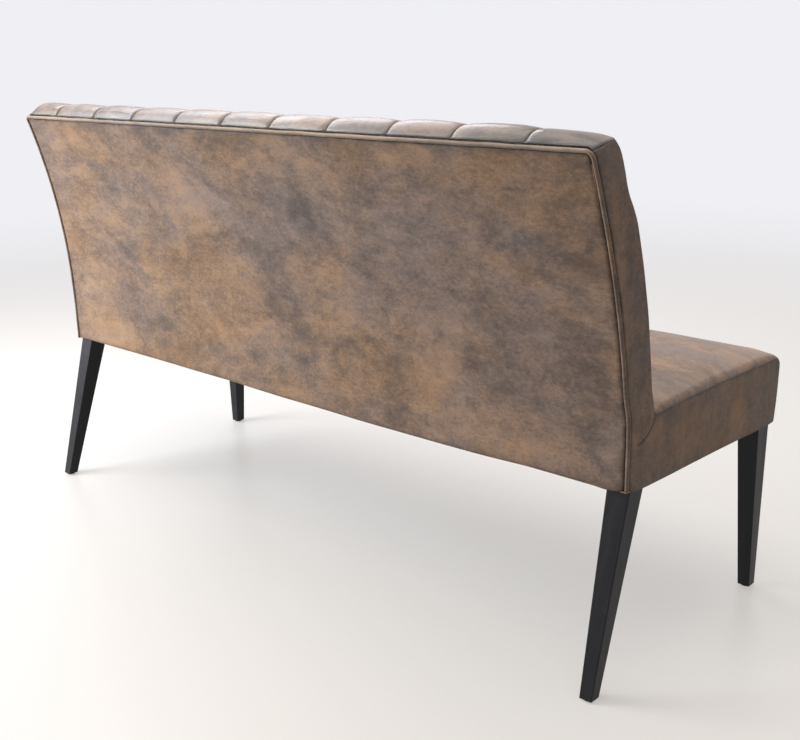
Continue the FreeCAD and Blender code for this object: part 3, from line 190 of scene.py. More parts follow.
TUCK_Y = rear_y(EDGE_DEPTHS[0][1], TUCK_Z) + TUCK_RADIUS
JOIN_Y = TUCK_Y - math.sqrt(TUCK_RADIUS ** 2 - (TUCK_Z - JOIN_Z) ** 2)


def end_front_y(z):
    """The front edge of the back's end: thickest at mid height, running out into the tuck's curve below."""
    if z < TUCK_Z:
        return TUCK_Y - math.sqrt(TUCK_RADIUS ** 2 - min(TUCK_Z - z, TUCK_RADIUS) ** 2)
    return rear_y(through(EDGE_DEPTHS, z), z)


def hem_z(y):
    return through(SIDE_HEM, y)


def corner_round(y, side):
    """How round the edge between top and end is: sharp at the front, as round as the cord at the rear."""
    return mix(EDGE_ROUND, CORD_CORNER[side] + CORD_RADIUS, smooth(0.262, 0.300, y))


# Of a rounded edge's radius, how much its middle lies in from the sharp edge on either side
SEAM_SHARE = 1 - math.sqrt(0.5)
CORD_SIDE_DEPTH = CORD_INSET + 0.75 * CORD_RADIUS
CORD_ROLL_WIDTH = 0.0065
CORD_ROLL_DEPTH = 0.0036


def cord_roll(y, z):
    """How far the covers roll in towards the piping behind them."""
    return edge_roll(rear_y(CORD_SIDE_DEPTH, z) - y, CORD_ROLL_WIDTH, CORD_ROLL_DEPTH)


# Side line of the seat: up the front from the hem, round the front corner and back to the tuck, as (y, z)

SEAT_LINE = [Vector(place) for place in (
    (-0.2985, 0.3335), (-0.3025, 0.362), (-0.3048, 0.386), (-0.3066, 0.420), (-0.3070, 0.438),
    (-0.3060, 0.4475), (-0.3015, 0.4540), (-0.2940, 0.4570), (-0.2850, 0.4577), (-0.2650, 0.4578),
    (-0.2200, 0.4585), (-0.1535, 0.4588), (-0.1016, 0.4598), (-0.0716, 0.4603), (-0.0400, 0.4598),
    (0.0000, 0.4592), (0.0490, 0.4587), (0.0777, 0.4582), (0.1040, 0.4578), (0.1240, 0.4566),
    (JOIN_Y, JOIN_Z))]
CORNER_PLACE = 4

# How far the cover swells over each place of the line: its shoulder beside the seam, and its rise
# towards mid length
SEAT_SHOULDERS = ((0.001, 0.002, 0.002, 0.002, 0.0025, 0.0035, 0.005, 0.0065, 0.008, 0.010)
                  + 8 * (0.0105,) + (0.0100, 0.0085, 0.006))
SEAT_RISES = (0, 0, 0, 0.001, 0.0015, 0.002, 0.003, 0.0038, 0.0048, 0.0070, 0.0118, 0.0150, 0.0155, 0.0152,
              0.0145, 0.0130, 0.0110, 0.0095, 0.0070, 0.0045, 0.0020)

seat_runs = [0.0]
for before, after in zip(SEAT_LINE, SEAT_LINE[1:]):
    seat_runs.append(seat_runs[-1] + (after - before).length)
SEAT_LENGTH = seat_runs[-1]
CORNER_RUN = seat_runs[CORNER_PLACE]
SEAT_TABLES = [list(zip(seat_runs, column)) for column in (
    [place.x for place in SEAT_LINE], [place.y for place in SEAT_LINE], SEAT_SHOULDERS, SEAT_RISES)]


def seat_line(run, inset=0.0):
    """A place on the seat's side line, its shoulder and rise, and its outward direction."""
    near = 0.001
    y, z, shoulder, rise = (through(table, run) for table in SEAT_TABLES)
    along = Vector([through(table, run + near) - through(table, run - near) for table in SEAT_TABLES[:2]])
    outward = Vector((-along.y, along.x)).normalized()
    return Vector((y, z)) - outward * inset, shoulder, rise, outward


SEAT_STEPS = 160
seat_places = [seat_line(SEAT_LENGTH * step / SEAT_STEPS)[0] for step in range(SEAT_STEPS + 1)]


def seat_side_distance(place):
    """How far a place on the seat's side is from its front and top seams."""
    return min((place - point).length for point in seat_places)


# Mesh makers

# The marks that a finish reads: grime with painted shade, worn colour with painted highlight, and the run
# along a seam for its stitches
MARKS = ("dirt_and_painted_shade", "wear_and_highlight", "seam_run")


def linked(name, data):
    item = bpy.data.objects.new(name, data)
    scene.collection.objects.link(item)
    return item


def mesh_from(bm, name):
    mesh = bpy.data.meshes.new(name)
    bm.to_mesh(mesh)
    bm.free()
    return mesh


def piece_from(bm, name, material):
    mesh = mesh_from(bm, name)
    mesh.polygons.foreach_set("use_smooth", [True] * len(mesh.polygons))
    mesh.materials.append(material)
    piece = linked(name, mesh)
    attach(piece, "root")
    return piece


def mark_layers(bm):
    return [bm.verts.layers.float.new(mark) for mark in MARKS]


def set_marks(vert, layers, marks):
    for layer, number in zip(layers, marks):
        vert[layer] = number


def sewn_grid(columns, rows, place):
    """A grid of quads laid where place(u, v) says; place also gives the marks that its finish reads."""
    bm = bmesh.new()
    bmesh.ops.create_grid(bm, x_segments=columns, y_segments=rows, size=0.5)
    layers = mark_layers(bm)
    for vert in bm.verts:
        vert.co, marks = place(vert.co.x + 0.5, vert.co.y + 0.5)
        set_marks(vert, layers, marks)
    return bm


def face_out(bm, outward):
    """Turn the faces so that they look outward on the whole."""
    bm.normal_update()
    if sum(face.normal.dot(outward(face.calc_center_median())) for face in bm.faces) < 0:
        bmesh.ops.reverse_faces(bm, faces=bm.faces[:])
    bm.normal_update()


def thicken(piece, thickness=COVER):
    solid = piece.modifiers.new("cloth_thickness", "SOLIDIFY")
    solid.thickness = thickness
    solid.offset = -1


def extruded(bm, edges):
    """Extrude edges without moving them; gives the new verts and the new edges."""
    grown = bmesh.ops.extrude_edge_only(bm, edges=edges)["geom"]
    return ([item for item in grown if isinstance(item, bmesh.types.BMVert)],
            [item for item in grown if isinstance(item, bmesh.types.BMEdge)])


def edges_where(bm, test):
    return [edge for edge in bm.edges if edge.is_boundary and all(test(vert.co) for vert in edge.verts)]


def fold_hem(bm, edges, inward, depth):
    """Roll the hem under the frame: two short steps round the edge, then the flat fold."""
    for along, down in ((0.0006, -0.0010), (0.0016, -0.0005), (depth, 0.0004)):
        verts, edges = extruded(bm, edges)
        bmesh.ops.translate(bm, verts=verts, vec=inward * along + Vector((0, 0, down)))


def cloth_area(bm):
    return sum(face.calc_area() for face in bm.faces)


# Materials


def shader_parts(name):
    material = bpy.data.materials.new(name)
    material.use_nodes = True
    tree = material.node_tree
    return material, tree, tree.nodes["Principled BSDF"]


def add(tree, kind, **settings):
    node = tree.nodes.new(kind)
    for key, setting in settings.items():
        setattr(node, key, setting)
    return node


def feed(tree, node, **inputs):
    """Link a socket to an input, or set the input's value; i0, i1 and so on name inputs by number."""
    for key, source in inputs.items():
        socket = node.inputs[int(key[1:])] if key[0] == "i" and key[1:].isdigit() else node.inputs[key]
        if isinstance(source, bpy.types.NodeSocket):
            tree.links.new(source, socket)
        else:
            socket.default_value = source
    return node


def place_node(tree, offset, turn=(0, 0, 0), stretch=(1, 1, 1)):
    coordinates = add(tree, "ShaderNodeTexCoord")
    mapping = add(tree, "ShaderNodeMapping")
    return feed(tree, mapping, Vector=coordinates.outputs["Object"], Location=offset, Rotation=turn,
                Scale=stretch).outputs["Vector"]


def noise_node(tree, place, scale, detail, roughness, distortion=0.0):
    node = add(tree, "ShaderNodeTexNoise")
    return feed(tree, node, Vector=place, Scale=scale, Detail=detail, Roughness=roughness,
                Distortion=distortion).outputs["Fac"]


def math_node(tree, operation, first, second=0.0, clamp=False):
    node = add(tree, "ShaderNodeMath", operation=operation, use_clamp=clamp)
    return feed(tree, node, i0=first, i1=second).outputs[0]


def spread(tree, source, low, high, to_low=0.0, to_high=1.0):
    node = add(tree, "ShaderNodeMapRange", interpolation_type="SMOOTHSTEP")
    feed(tree, node, **{"Value": source, "From Min": low, "From Max": high, "To Min": to_low,
                        "To Max": to_high})
    return node.outputs["Result"]


def blend_colour(tree, share, first, second, blend_type="MIX"):
    node = add(tree, "ShaderNodeMix", data_type="RGBA", blend_type=blend_type)
    feed(tree, node, i0=share, i6=first, i7=second)
    return node.outputs[2]


def ramp_node(tree, source, stops):
    node = add(tree, "ShaderNodeValToRGB")
    ramp = node.color_ramp
    ramp.interpolation = "B_SPLINE"
    while len(ramp.elements) < len(stops):
        ramp.elements.new(0.5)
    for element, (position, colour) in zip(ramp.elements, stops):
        element.position = position
        element.color = colour
    return feed(tree, node, Fac=source).outputs["Color"]


def bump_node(tree, height, distance, strength, normal=None):
    node = add(tree, "ShaderNodeBump")
    feed(tree, node, Height=height, Distance=distance, Strength=strength)
    if normal:
        feed(tree, node, Normal=normal)
    return node.outputs["Normal"]


def mark_node(tree, name):
    return add(tree, "ShaderNodeAttribute", attribute_name=name).outputs["Fac"]


def weighted(tree, *parts):
    """Add up sources, each with its weight."""
    total = None
    for source, weight in parts:
        part = math_node(tree, "MULTIPLY", source, weight)
        total = part if total is None else math_node(tree, "ADD", total, part)
    return total


SLATE = (0.202, 0.160, 0.141, 1)
MAUVE = (0.225, 0.168, 0.140, 1)
BROWN = (0.264, 0.178, 0.130, 1)
TAN = (0.310, 0.200, 0.125, 1)
RUST = (0.295, 0.175, 0.098, 1)
# The next two colours: grime with painted shade by seams, creases, the tuck and the hem; worn colour with
# painted highlight on the crest and the piping's top
DIRT_AND_SHADE = (0.020, 0.015, 0.012, 1)
WEAR_AND_HIGHLIGHT = (0.42, 0.32, 0.25, 1)
SHEEN_TINT = (0.88, 0.88, 0.95, 1)
HUE_STOPS = ((0.36, SLATE), (0.43, MAUVE), (0.50, BROWN), (0.56, TAN), (0.64, RUST))

# Patterns of the fabric, as (scale, detail, roughness, distortion)
BROAD = (2.6, 2, 0.5, 0.3)
HUE = (7.0, 4, 0.55, 0.5)
CLOUD = (8.5, 4, 0.6, 0.7)
MOTTLE = (36, 4, 0.6, 0.5)
STREAK = (30, 3, 0.5, 0.3)
GRAIN = (170, 3, 0.6, 0.3)
DUST = (480, 2, 0.6)
WRINKLE = (75, 3, 0.55, 0.8)
ALONG_STRETCH = (0.62, 1, 1)
HANGING_STRETCH = (1, 1, 0.16)

# Radians per metre of seam: a stitch every 5 mm
STITCHES = 1257


def cover_material(name, offset, level=1.0, hue_shift=0.0, roughness=0.58, gloss=0.3, sheen=0.2, streaks=0.0):
    """Distressed microfibre: clouds of tan, brown and greyish mauve, a fine speckle, grime and painted shade
    by the seams, rubbing with painted highlights.
    """
    material, tree, shader = shader_parts(name)
    place = place_node(tree, offset, stretch=ALONG_STRETCH)
    other = place_node(tree, [number + 5 for number in offset], (0.15, 0.1, 0.1), ALONG_STRETCH)
    hanging = place_node(tree, [number + 2 for number in offset], stretch=HANGING_STRETCH)
    broad, hue = noise_node(tree, other, *BROAD), noise_node(tree, other, *HUE)
    cloud, mottle = noise_node(tree, place, *CLOUD), noise_node(tree, place, *MOTTLE)
    streak = noise_node(tree, hanging, *STREAK)
    grain, dust = noise_node(tree, place, *GRAIN), noise_node(tree, place, *DUST)

    warmth = weighted(tree, (broad, 0.30), (hue, 0.52), (mottle, 0.18))
    colour = ramp_node(tree, math_node(tree, "ADD", warmth, hue_shift), HUE_STOPS)
    value = weighted(tree, (cloud, 0.40), (mottle, 0.24), (streak, streaks), (grain, 0.20), (dust, 0.16))
    value = spread(tree, value, 0.35 + 0.5 * streaks, 0.65 + 0.5 * streaks, 0.5 * level, 1.5 * level)
    grey = add(tree, "ShaderNodeCombineColor")
    feed(tree, grey, Red=value, Green=value, Blue=value)
    colour = blend_colour(tree, 1.0, colour, grey.outputs["Color"], "MULTIPLY")

    # Worn colour and painted highlight, broken into patches
    wear_and_highlight_patches = spread(tree, cloud, 0.40, 0.60, 0.25, 0.75)
    colour = blend_colour(tree, math_node(tree, "MULTIPLY", mark_node(tree, "wear_and_highlight"), wear_and_highlight_patches), colour, WEAR_AND_HIGHLIGHT)
    # Grime and painted shade by seams, in creases, the tuck and the hem, and painted shade towards the right
    # end
    seam = mark_node(tree, "dirt_and_painted_shade")
    dirt_and_shade_share = math_node(tree, "MULTIPLY", seam, spread(tree, mottle, 0.35, 0.65, 1.0, 0.72), clamp=True)
    colour = blend_colour(tree, dirt_and_shade_share, colour, DIRT_AND_SHADE)

    stitch = math_node(tree, "SINE", math_node(tree, "MULTIPLY", mark_node(tree, "seam_run"), STITCHES))
    stitch = math_node(tree, "MULTIPLY", stitch, spread(tree, seam, 0.35, 0.85))
    wrinkle = noise_node(tree, place, *WRINKLE)
    normal = None
    for height, distance, strength in ((wrinkle, 0.0012, 0.2), (grain, 0.0005, 0.4), (dust, 0.0002, 0.4),
                                       (stitch, 0.0006, 0.6)):
        normal = bump_node(tree, height, distance, strength, normal)
    feed(tree, shader, Roughness=spread(tree, cloud, 0.35, 0.65, roughness - 0.07, roughness + 0.08),
         Normal=normal)
    feed(tree, shader, **{"Base Color": colour, "Specular IOR Level": gloss, "Sheen Weight": sheen,
                          "Sheen Roughness": 0.35, "Sheen Tint": SHEEN_TINT})
    return material


def wood_material(name, light, dark, roughness, gloss=0.5):
    """Straight fibres up the piece, with fine pores."""
    material, tree, shader = shader_parts(name)
    place = place_node(tree, (0, 0, 0), stretch=(1, 1, 0.06))
    fibres = noise_node(tree, place, 60, 6, 0.6, 0.6)
    pores = noise_node(tree, place, 480, 3, 0.6)
    colour = blend_colour(tree, spread(tree, fibres, 0.35, 0.65), dark, light)
    feed(tree, shader, Roughness=spread(tree, fibres, 0.3, 0.7, roughness - 0.06, roughness + 0.06),
         Normal=bump_node(tree, pores, 0.0003, 0.3))
    feed(tree, shader, **{"Base Color": colour, "Specular IOR Level": gloss})
    return material


def plain_material(name, colour, second, scale, roughness, metallic=0.0, bump=0.0002):
    material, tree, shader = shader_parts(name)
    grain = noise_node(tree, place_node(tree, (0, 0, 0)), scale, 4, 0.6)
    feed(tree, shader, Roughness=spread(tree, grain, 0.3, 0.7, roughness - 0.08, roughness + 0.08),
         Metallic=metallic, Normal=bump_node(tree, grain, bump, 0.5))
    feed(tree, shader, **{"Base Color": blend_colour(tree, grain, colour, second)})
    return material


# One microfibre in copies of different level: the seat's is lighter, as painted light, and the top's and the
# ends' are darker, as painted shade, for how each faces the light
rear_fabric = cover_material("microfibre_rear", (0.0, 0.0, 0.0), gloss=0.22, sheen=0.15)
top_fabric = cover_material("microfibre_back", (4.1, 1.3, 2.2), level=0.74, hue_shift=-0.03, roughness=0.37,
                            gloss=0.75, sheen=0.1)
end_fabric = cover_material("microfibre_ends", (7.7, 5.2, 0.4), level=0.86, hue_shift=0.01, streaks=0.3)
seat_fabric = cover_material("microfibre_seat", (2.3, 8.6, 5.9), level=1.15, hue_shift=-0.01, roughness=0.50,
                             gloss=0.4, sheen=0.5)
cord_fabric = cover_material("microfibre_piping", (9.4, 3.1, 6.6), level=0.9, hue_shift=0.01, gloss=0.22)

# Plain finishes by slot, as (name, shade, other shade, grain scale, roughness, metallic, bump)
PLAIN_FINISHES = {
    "hardboard": ("hardboard", (0.2, 0.12, 0.07, 1), (0.3, 0.19, 0.11, 1), 300, 0.6),
    "foam": ("cut_foam", (0.78, 0.72, 0.52, 1), (0.86, 0.8, 0.62, 1), 400, 0.85, 0.0, 0.0008),
    "webbing": ("elastic_webbing", (0.05, 0.045, 0.04, 1), (0.12, 0.11, 0.1, 1), 500, 0.8),
    "support_cloth": ("support_cloth", (0.6, 0.56, 0.48, 1), (0.7, 0.66, 0.58, 1), 600, 0.85),
    "dust_cloth": ("spun_black_cloth", (0.012, 0.012, 0.012, 1), (0.03, 0.03, 0.03, 1), 700, 0.85),
    "steel_fastener": ("zinc_plated_steel", (0.5, 0.5, 0.51, 1), (0.62, 0.62, 0.62, 1), 300, 0.35, 1.0),
    "glide_plastic": ("glide_plastic", (0.04, 0.04, 0.04, 1), (0.06, 0.06, 0.06, 1), 500, 0.5)}
slot_materials = {slot: plain_material(*finish) for slot, finish in PLAIN_FINISHES.items()}
slot_materials["stained_leg"] = wood_material("black_stained_wood", (0.011, 0.011, 0.015, 1),
                                              (0.006, 0.006, 0.008, 1), roughness=0.40, gloss=0.24)
slot_materials["frame_wood"] = wood_material("planed_beech", (0.62, 0.45, 0.29, 1), (0.48, 0.33, 0.2, 1),
                                             roughness=0.55)

# CAD nodes that keep their shape

for subpart in frame["record"]["subparts"]:
    node = frame["nodes"][subpart["node"]]
    finish = slot_materials.get(subpart["material_slot"])
    if finish:
        for material_slot in node.material_slots:
            material_slot.material = finish

# Rear panel

REAR_COLUMNS, REAR_ROWS = 330, 126
REAR_ROLL_WIDTH = 0.010
REAR_ROLL_DEPTH = 0.0045

# Lower edge of the rear panel, as (x, z)
REAR_HEM = ((-0.800, 0.3450), (-0.788, 0.3437), (-0.768, 0.3412), (-0.740, 0.3420), (-0.650, 0.3428),
            (-0.500, 0.3385), (-0.360, 0.3372), (-0.220, 0.3365), (-0.070, 0.3380), (0.070, 0.3385),
            (0.220, 0.3410), (0.360, 0.3412), (0.500, 0.3430), (0.650, 0.3430), (0.780, 0.3412),
            (0.800, 0.3405))

# Faint slanted creases of the rear panel, as ((x, z), (x, z), depth)
CREASES = (((-0.080, 0.681), (-0.149, 0.414), 0.0010), ((0.358, 0.533), (0.337, 0.448), 0.0009),
           ((0.262, 0.420), (0.219, 0.386), 0.0009))
CREASE_WIDTH = 0.0055
# How dark the creases are painted: painted shade
CREASE_SHADE = 130


def crease_depth(x, z):
    """How deep the faint creases are at a place on the rear panel."""
    deep, place = 0, Vector((x, z))
    for start, end, depth in CREASES:
        low, high = Vector(start), Vector(end)
        along = (place - low).dot(high - low) / (high - low).length_squared
        across = (place - low.lerp(high, min(max(along, 0), 1))).length
        deep += (depth * ridge(across, CREASE_WIDTH) * smooth(-0.05, 0.25, along)
                 * smooth(1.05, 0.7, along))
    return deep


def rear_point(u, v):
    """The smooth rear panel, seen from behind: u along X, v from the hem up to the piping."""
    x_share = 2 * eased(u) - 1
    side = side_of(x_share)
    half_cord, corner = 0.5 * CORD_RADIUS, CORD_CORNER[side]
    hem = through(REAR_HEM, x_share * END_X) + 0.0015
    top = CORD_Z - half_cord
    z = mix(hem, top, eased(v))
    cord_x = half_length(z, side) - CORD_INSET
    edge_x = cord_x - half_cord
    x = x_share * edge_x
    over_x, over_z = abs(x) - (cord_x - corner), z - (CORD_Z - corner)
    if over_x > 0 and over_z > 0:
        pull = max(over_x, over_z) / math.hypot(over_x, over_z)
        x = math.copysign(abs(x) - over_x * (1 - pull), x)
        z -= over_z * (1 - pull)
        to_edge = corner - half_cord - max(over_x, over_z)
    else:
        to_edge = min(edge_x - abs(x), top - z)
    off_board = max(smooth(board_high.x, board_high.x + 0.005, abs(x)),
                    smooth(board_high.z, board_high.z + 0.005, z))
    sink = min(edge_roll(to_edge - 0.001, REAR_ROLL_WIDTH, REAR_ROLL_DEPTH),
               mix(COVER, REAR_ROLL_DEPTH, off_board))
    creased = crease_depth(x, z)
    swell = hollows((x, 0, z), REAR_HOLLOWS) - creased
    point = Vector((x, rear_y(0, z) - sink + max(swell, -0.0018), z))
    # Grime and painted shade under the piping and along the edges, painted shade at the hem and in the
    # creases, and painted shade growing towards the right end
    dirt_and_painted_shade = 0.95 * fade(max(to_edge - 0.0024, 0), 0.0032) + 0.18 * fade(to_edge, 0.012)
    dirt_and_painted_shade += 0.5 * fade(z - hem, 0.004) + CREASE_SHADE * creased + 0.075 * smooth(0.1, -0.6, x)
    return point, (min(dirt_and_painted_shade, 1), 0, 0)


bm = sewn_grid(REAR_COLUMNS, REAR_ROWS, rear_point)
hem_edges = edges_where(bm, lambda place: place.z < HEM_Z + 0.0055 and abs(place.x) < END_X)
fold_hem(bm, hem_edges, Vector((0, -1, 0)), 0.010)
face_out(bm, lambda place: Vector((0, 1, 0)))
rear_area = cloth_area(bm)
rear_panel = piece_from(bm, "rear_panel", rear_fabric)
thicken(rear_panel)
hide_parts("rear_cover")

# Piping

CORD_STEPS = 60
CORD_CORNER_STEPS = 8
CORD_FACETS = 16


def piping_side_point(z, side, inward=0.0):
    wander = 0.0005 * uneven((0, side, z), 22, 31)
    return Vector((side * (half_length(z, side) - CORD_INSET - inward) + wander, rear_y(CORD_INSET, z), z))


def piping_half(side):
    """The cord's middle line on one side: up the end, round the corner, along the top to the middle."""
    corner = CORD_CORNER[side]
    hem = through(REAR_HEM, side * END_X) - 0.0005
    points = [piping_side_point(mix(hem, CORD_Z - corner, step / CORD_STEPS), side)
              for step in range(CORD_STEPS)]
    for step in range(CORD_CORNER_STEPS + 1):
        angle = math.pi / 2 * step / CORD_CORNER_STEPS
        points.append(piping_side_point(CORD_Z - corner * (1 - math.sin(angle)), side,
                                        corner * (1 - math.cos(angle))))
    last = points[-1]
    for step in range(1, CORD_STEPS + 1):
        x = last.x * (1 - step / CORD_STEPS)
        wander = 0.0007 * uneven((x, 0, 0), 16, 32) * smooth(0, 0.05, abs(last.x - x))
        points.append(Vector((x, last.y, last.z + wander)))
    return points


def tube(name, points, radius):
    """A closed tube round a line of points: a disc is turned and extruded from one point to the next."""
    bm = bmesh.new()
    layers = mark_layers(bm)
    ring = bmesh.ops.create_circle(bm, cap_ends=True, segments=CORD_FACETS, radius=radius)["verts"]
    along = (points[1] - points[0]).normalized()
    turn = along.to_track_quat("Z", "Y").to_matrix().to_4x4()
    bmesh.ops.transform(bm, verts=ring, space=Matrix(), matrix=Matrix.Translation(points[0]) @ turn)
    edges = bm.edges[:]
    for before, here, after in zip(points, points[1:], points[2:] + [2 * points[-1] - points[-2]]):
        verts, edges = extruded(bm, edges)
        onward = (after - before).normalized()
        turn = along.rotation_difference(onward).to_matrix().to_4x4()
        bmesh.ops.translate(bm, verts=verts, vec=here - before)
        bmesh.ops.transform(bm, verts=verts, space=Matrix(),
                            matrix=Matrix.Translation(here) @ turn @ Matrix.Translation(-here))
        along = onward
    bmesh.ops.contextual_create(bm, geom=edges)
    for vert in bm.verts:
        # The cord is painted a little darker below, as painted shade, and paler along its top run, as worn
        # colour with painted highlight
        on_top = smooth(CORD_Z - 0.006, CORD_Z + 0.002, vert.co.z)
        set_marks(vert, layers, (0.10 * (1 - on_top), 0.25 + 0.6 * on_top, 0))
    bmesh.ops.recalc_face_normals(bm, faces=bm.faces[:])
    return piece_from(bm, name, cord_fabric)


right_half, left_half = piping_half(-1), piping_half(1)
piping = tube("rear_piping_cord", right_half + list(reversed(left_half[:-1])), CORD_RADIUS)
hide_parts("rear_piping")

# The back's cross-section: level up the front, then fanned over the top rail to the piping

FAN_Y = 0.2655
FAN_Z = 0.8683
FAN_END = 2.49
FAN_SHARE = 0.24
BACK_ROWS = 150
CHANNELS = 11
PITCH = 0.145
LAST_SEAM = (CHANNELS / 2 - 1) * PITCH
CHANNEL_COLUMNS = 26

# How far the channels puff out on the front and on the top, and the top's rise at its right and left
PUFF = 0.007
TOP_PUFF = 0.005
RIGHT_RISE = 0.0125
LEFT_RISE = 0.0150
RISE_SKEW = 1.9
END_FULLNESS = {1: 11, -1: 1.7}

# The seams between the channels, and how far they have wandered where they meet the piping, from the
# right end to the left
GROOVE_DEPTH = 0.0042
TOP_GROOVES = (0.0036, 0.0024)
GROOVE_WIDTH = 0.0025
SEAM_DRIFTS = (0.0030, 0.0045, 0.0, 0.0015, 0.0070, 0.0036, 0.0050, 0.0085, 0.0060, 0.0100)

# The seat's rear edge presses the channels flat below this height
SEAT_PRESS_Z = 0.50
SEAT_PRESS = 0.55

# Short slanted folds of the top near its right rear corner, as (x, turn, length)
TOP_FOLDS = ((-0.686, 0.5, 0.020), (-0.699, 0.5, 0.024), (-0.712, 0.45, 0.016), (-0.745, 0.6, 0.016),
             (-0.758, 0.6, 0.014))
FOLD_DEPTH = 0.0016
FOLD_WIDTH = 0.0028


def in_back(place):
    """Whether a place in Y and Z is inside the outline of the back's end."""
    share = (place.x - end_front_y(EDGE_Z)) / (rear_y(0, REAR_EDGE_Z) - end_front_y(EDGE_Z))
    top = mix(EDGE_Z, REAR_EDGE_Z, share)
    return place.y < top and place.x > end_front_y(min(place.y, EDGE_Z)) and place.x < rear_y(0, place.y)


def end_reach(height, angle):
    """How far the end's outline is from the back's inner line, level or along a ray of the fan."""
    if angle == 0:
        return FAN_Y - end_front_y(height)
    direction = Vector((-math.cos(angle), math.sin(angle)))
    near, far = 0.0, 0.12
    for halving in range(16):
        middle = (near + far) / 2
        if in_back(Vector((FAN_Y, FAN_Z)) + direction * middle):
            near = middle
        else:
            far = middle
    return near


section_reach = {}


def back_section(v):
    """Height, angle and reach of a section of the back."""
    key = round(v * BACK_ROWS * 8)
    if key not in section_reach:
        if v < 1 - FAN_SHARE:
            height, angle = mix(TUCK_LOW_Z, FAN_Z, v / (1 - FAN_SHARE)), 0.0
        else:
            height, angle = FAN_Z, FAN_END * (v - 1 + FAN_SHARE) / FAN_SHARE
        section_reach[key] = height, angle, end_reach(height, angle)
    return section_reach[key]


def arch(share):
    """The puffed shape of a channel from one seam to the next."""
    return max(1 - (2 * share - 1) ** 2, 0) ** 0.6


def channel_swell(x, half, angle, rise):
    """How far the back stands out over its end outline, and how far the nearest seam is."""
    share = angle / FAN_END
    puff = mix(PUFF, TOP_PUFF, smooth(0, 0.6, share)) * (1 - share ** 6)
    if abs(x) > LAST_SEAM:
        side, to_seam = side_of(x), abs(x) - LAST_SEAM
        share = min(to_seam / (half - LAST_SEAM), 1)
        if side < 0 and angle > 0:
            puff *= 0.5
        return rise * (1 - share ** END_FULLNESS[side]) + puff * arch(share), to_seam
    across = (x / PITCH + 0.5) % 1
    return rise + puff * arch(across), min(across, 1 - across) * PITCH


def channel_x(u, half):
    """A place along X with straight seams: the columns crowd towards the seams."""
    number, share = divmod(u * CHANNELS, 1)
    if number >= CHANNELS:
        number, share = CHANNELS - 1, 1
    edges = [-half] + [(step - CHANNELS / 2) * PITCH for step in range(1, CHANNELS)] + [half]
    return mix(edges[int(number)], edges[int(number) + 1], eased(share, 0.92))


def seam_drift(x, half, share):
    """How far a place between two seams moves with them: they wander a little towards the piping."""
    drifts = [(-half, 0)] + [((step - CHANNELS / 2) * PITCH, drift)
                             for step, drift in enumerate(SEAM_DRIFTS, 1)] + [(half, 0)]
    for (low, before), (high, after) in zip(drifts, drifts[1:]):
        if x <= high:
            return mix(before, after, max(x - low, 0) / (high - low)) * smooth(0.25, 1, share)
    return 0


def top_fold(x, angle):
    """Fine folds that run up from the piping."""
    up = (FAN_END - 0.15 - angle) * 0.045
    depth = 0
    for fold_x, turn, length in TOP_FOLDS:
        across = x - fold_x - turn * up
        depth += (FOLD_DEPTH * ridge(across, FOLD_WIDTH) * smooth(length, 0, up)
                  * smooth(-0.004, 0.004, up))
    return depth


def back_marks(x, height, angle, reach, to_seam, to_end, away):
    """Grime and painted shade by the seams and the piping, painted shade in the tuck and towards the right
    end, and the crest's worn colour with painted reflection, paler towards the left end.
    """
    # Grime and painted shade along the seams
    dirt_and_painted_shade = ridge(to_seam, 0.0014, 1.5) + 0.6 * fade(to_end, 0.0010) + 0.06 * fade(to_seam, 0.005)
    if angle == 0:
        # Painted shade into the tuck
        dirt_and_painted_shade += smooth(JOIN_Z + 0.012, JOIN_Z - 0.012, height)
        return min(dirt_and_painted_shade, 1), 0, height - 0.47
    to_piping = max((FAN_END - angle) * reach - 0.002, 0)
    # Grime and painted shade by the piping, then painted shade towards the right end
    dirt_and_painted_shade += 0.25 * fade(to_piping, 0.0008) + 0.42 * fade(to_piping, 0.014)
    dirt_and_painted_shade += 0.28 * smooth(-0.30, -0.70, x)
    crest = smooth(0.5, 1.3, angle) * smooth(2.1, 1.5, angle)
    # Worn colour and painted reflection on the crest, paler towards the left end
    wear_and_highlight = mix(0.1, 0.6, smooth(-0.7, 0.5, x)) * crest * away
    return min(dirt_and_painted_shade, 1), wear_and_highlight, reach * angle + 0.4


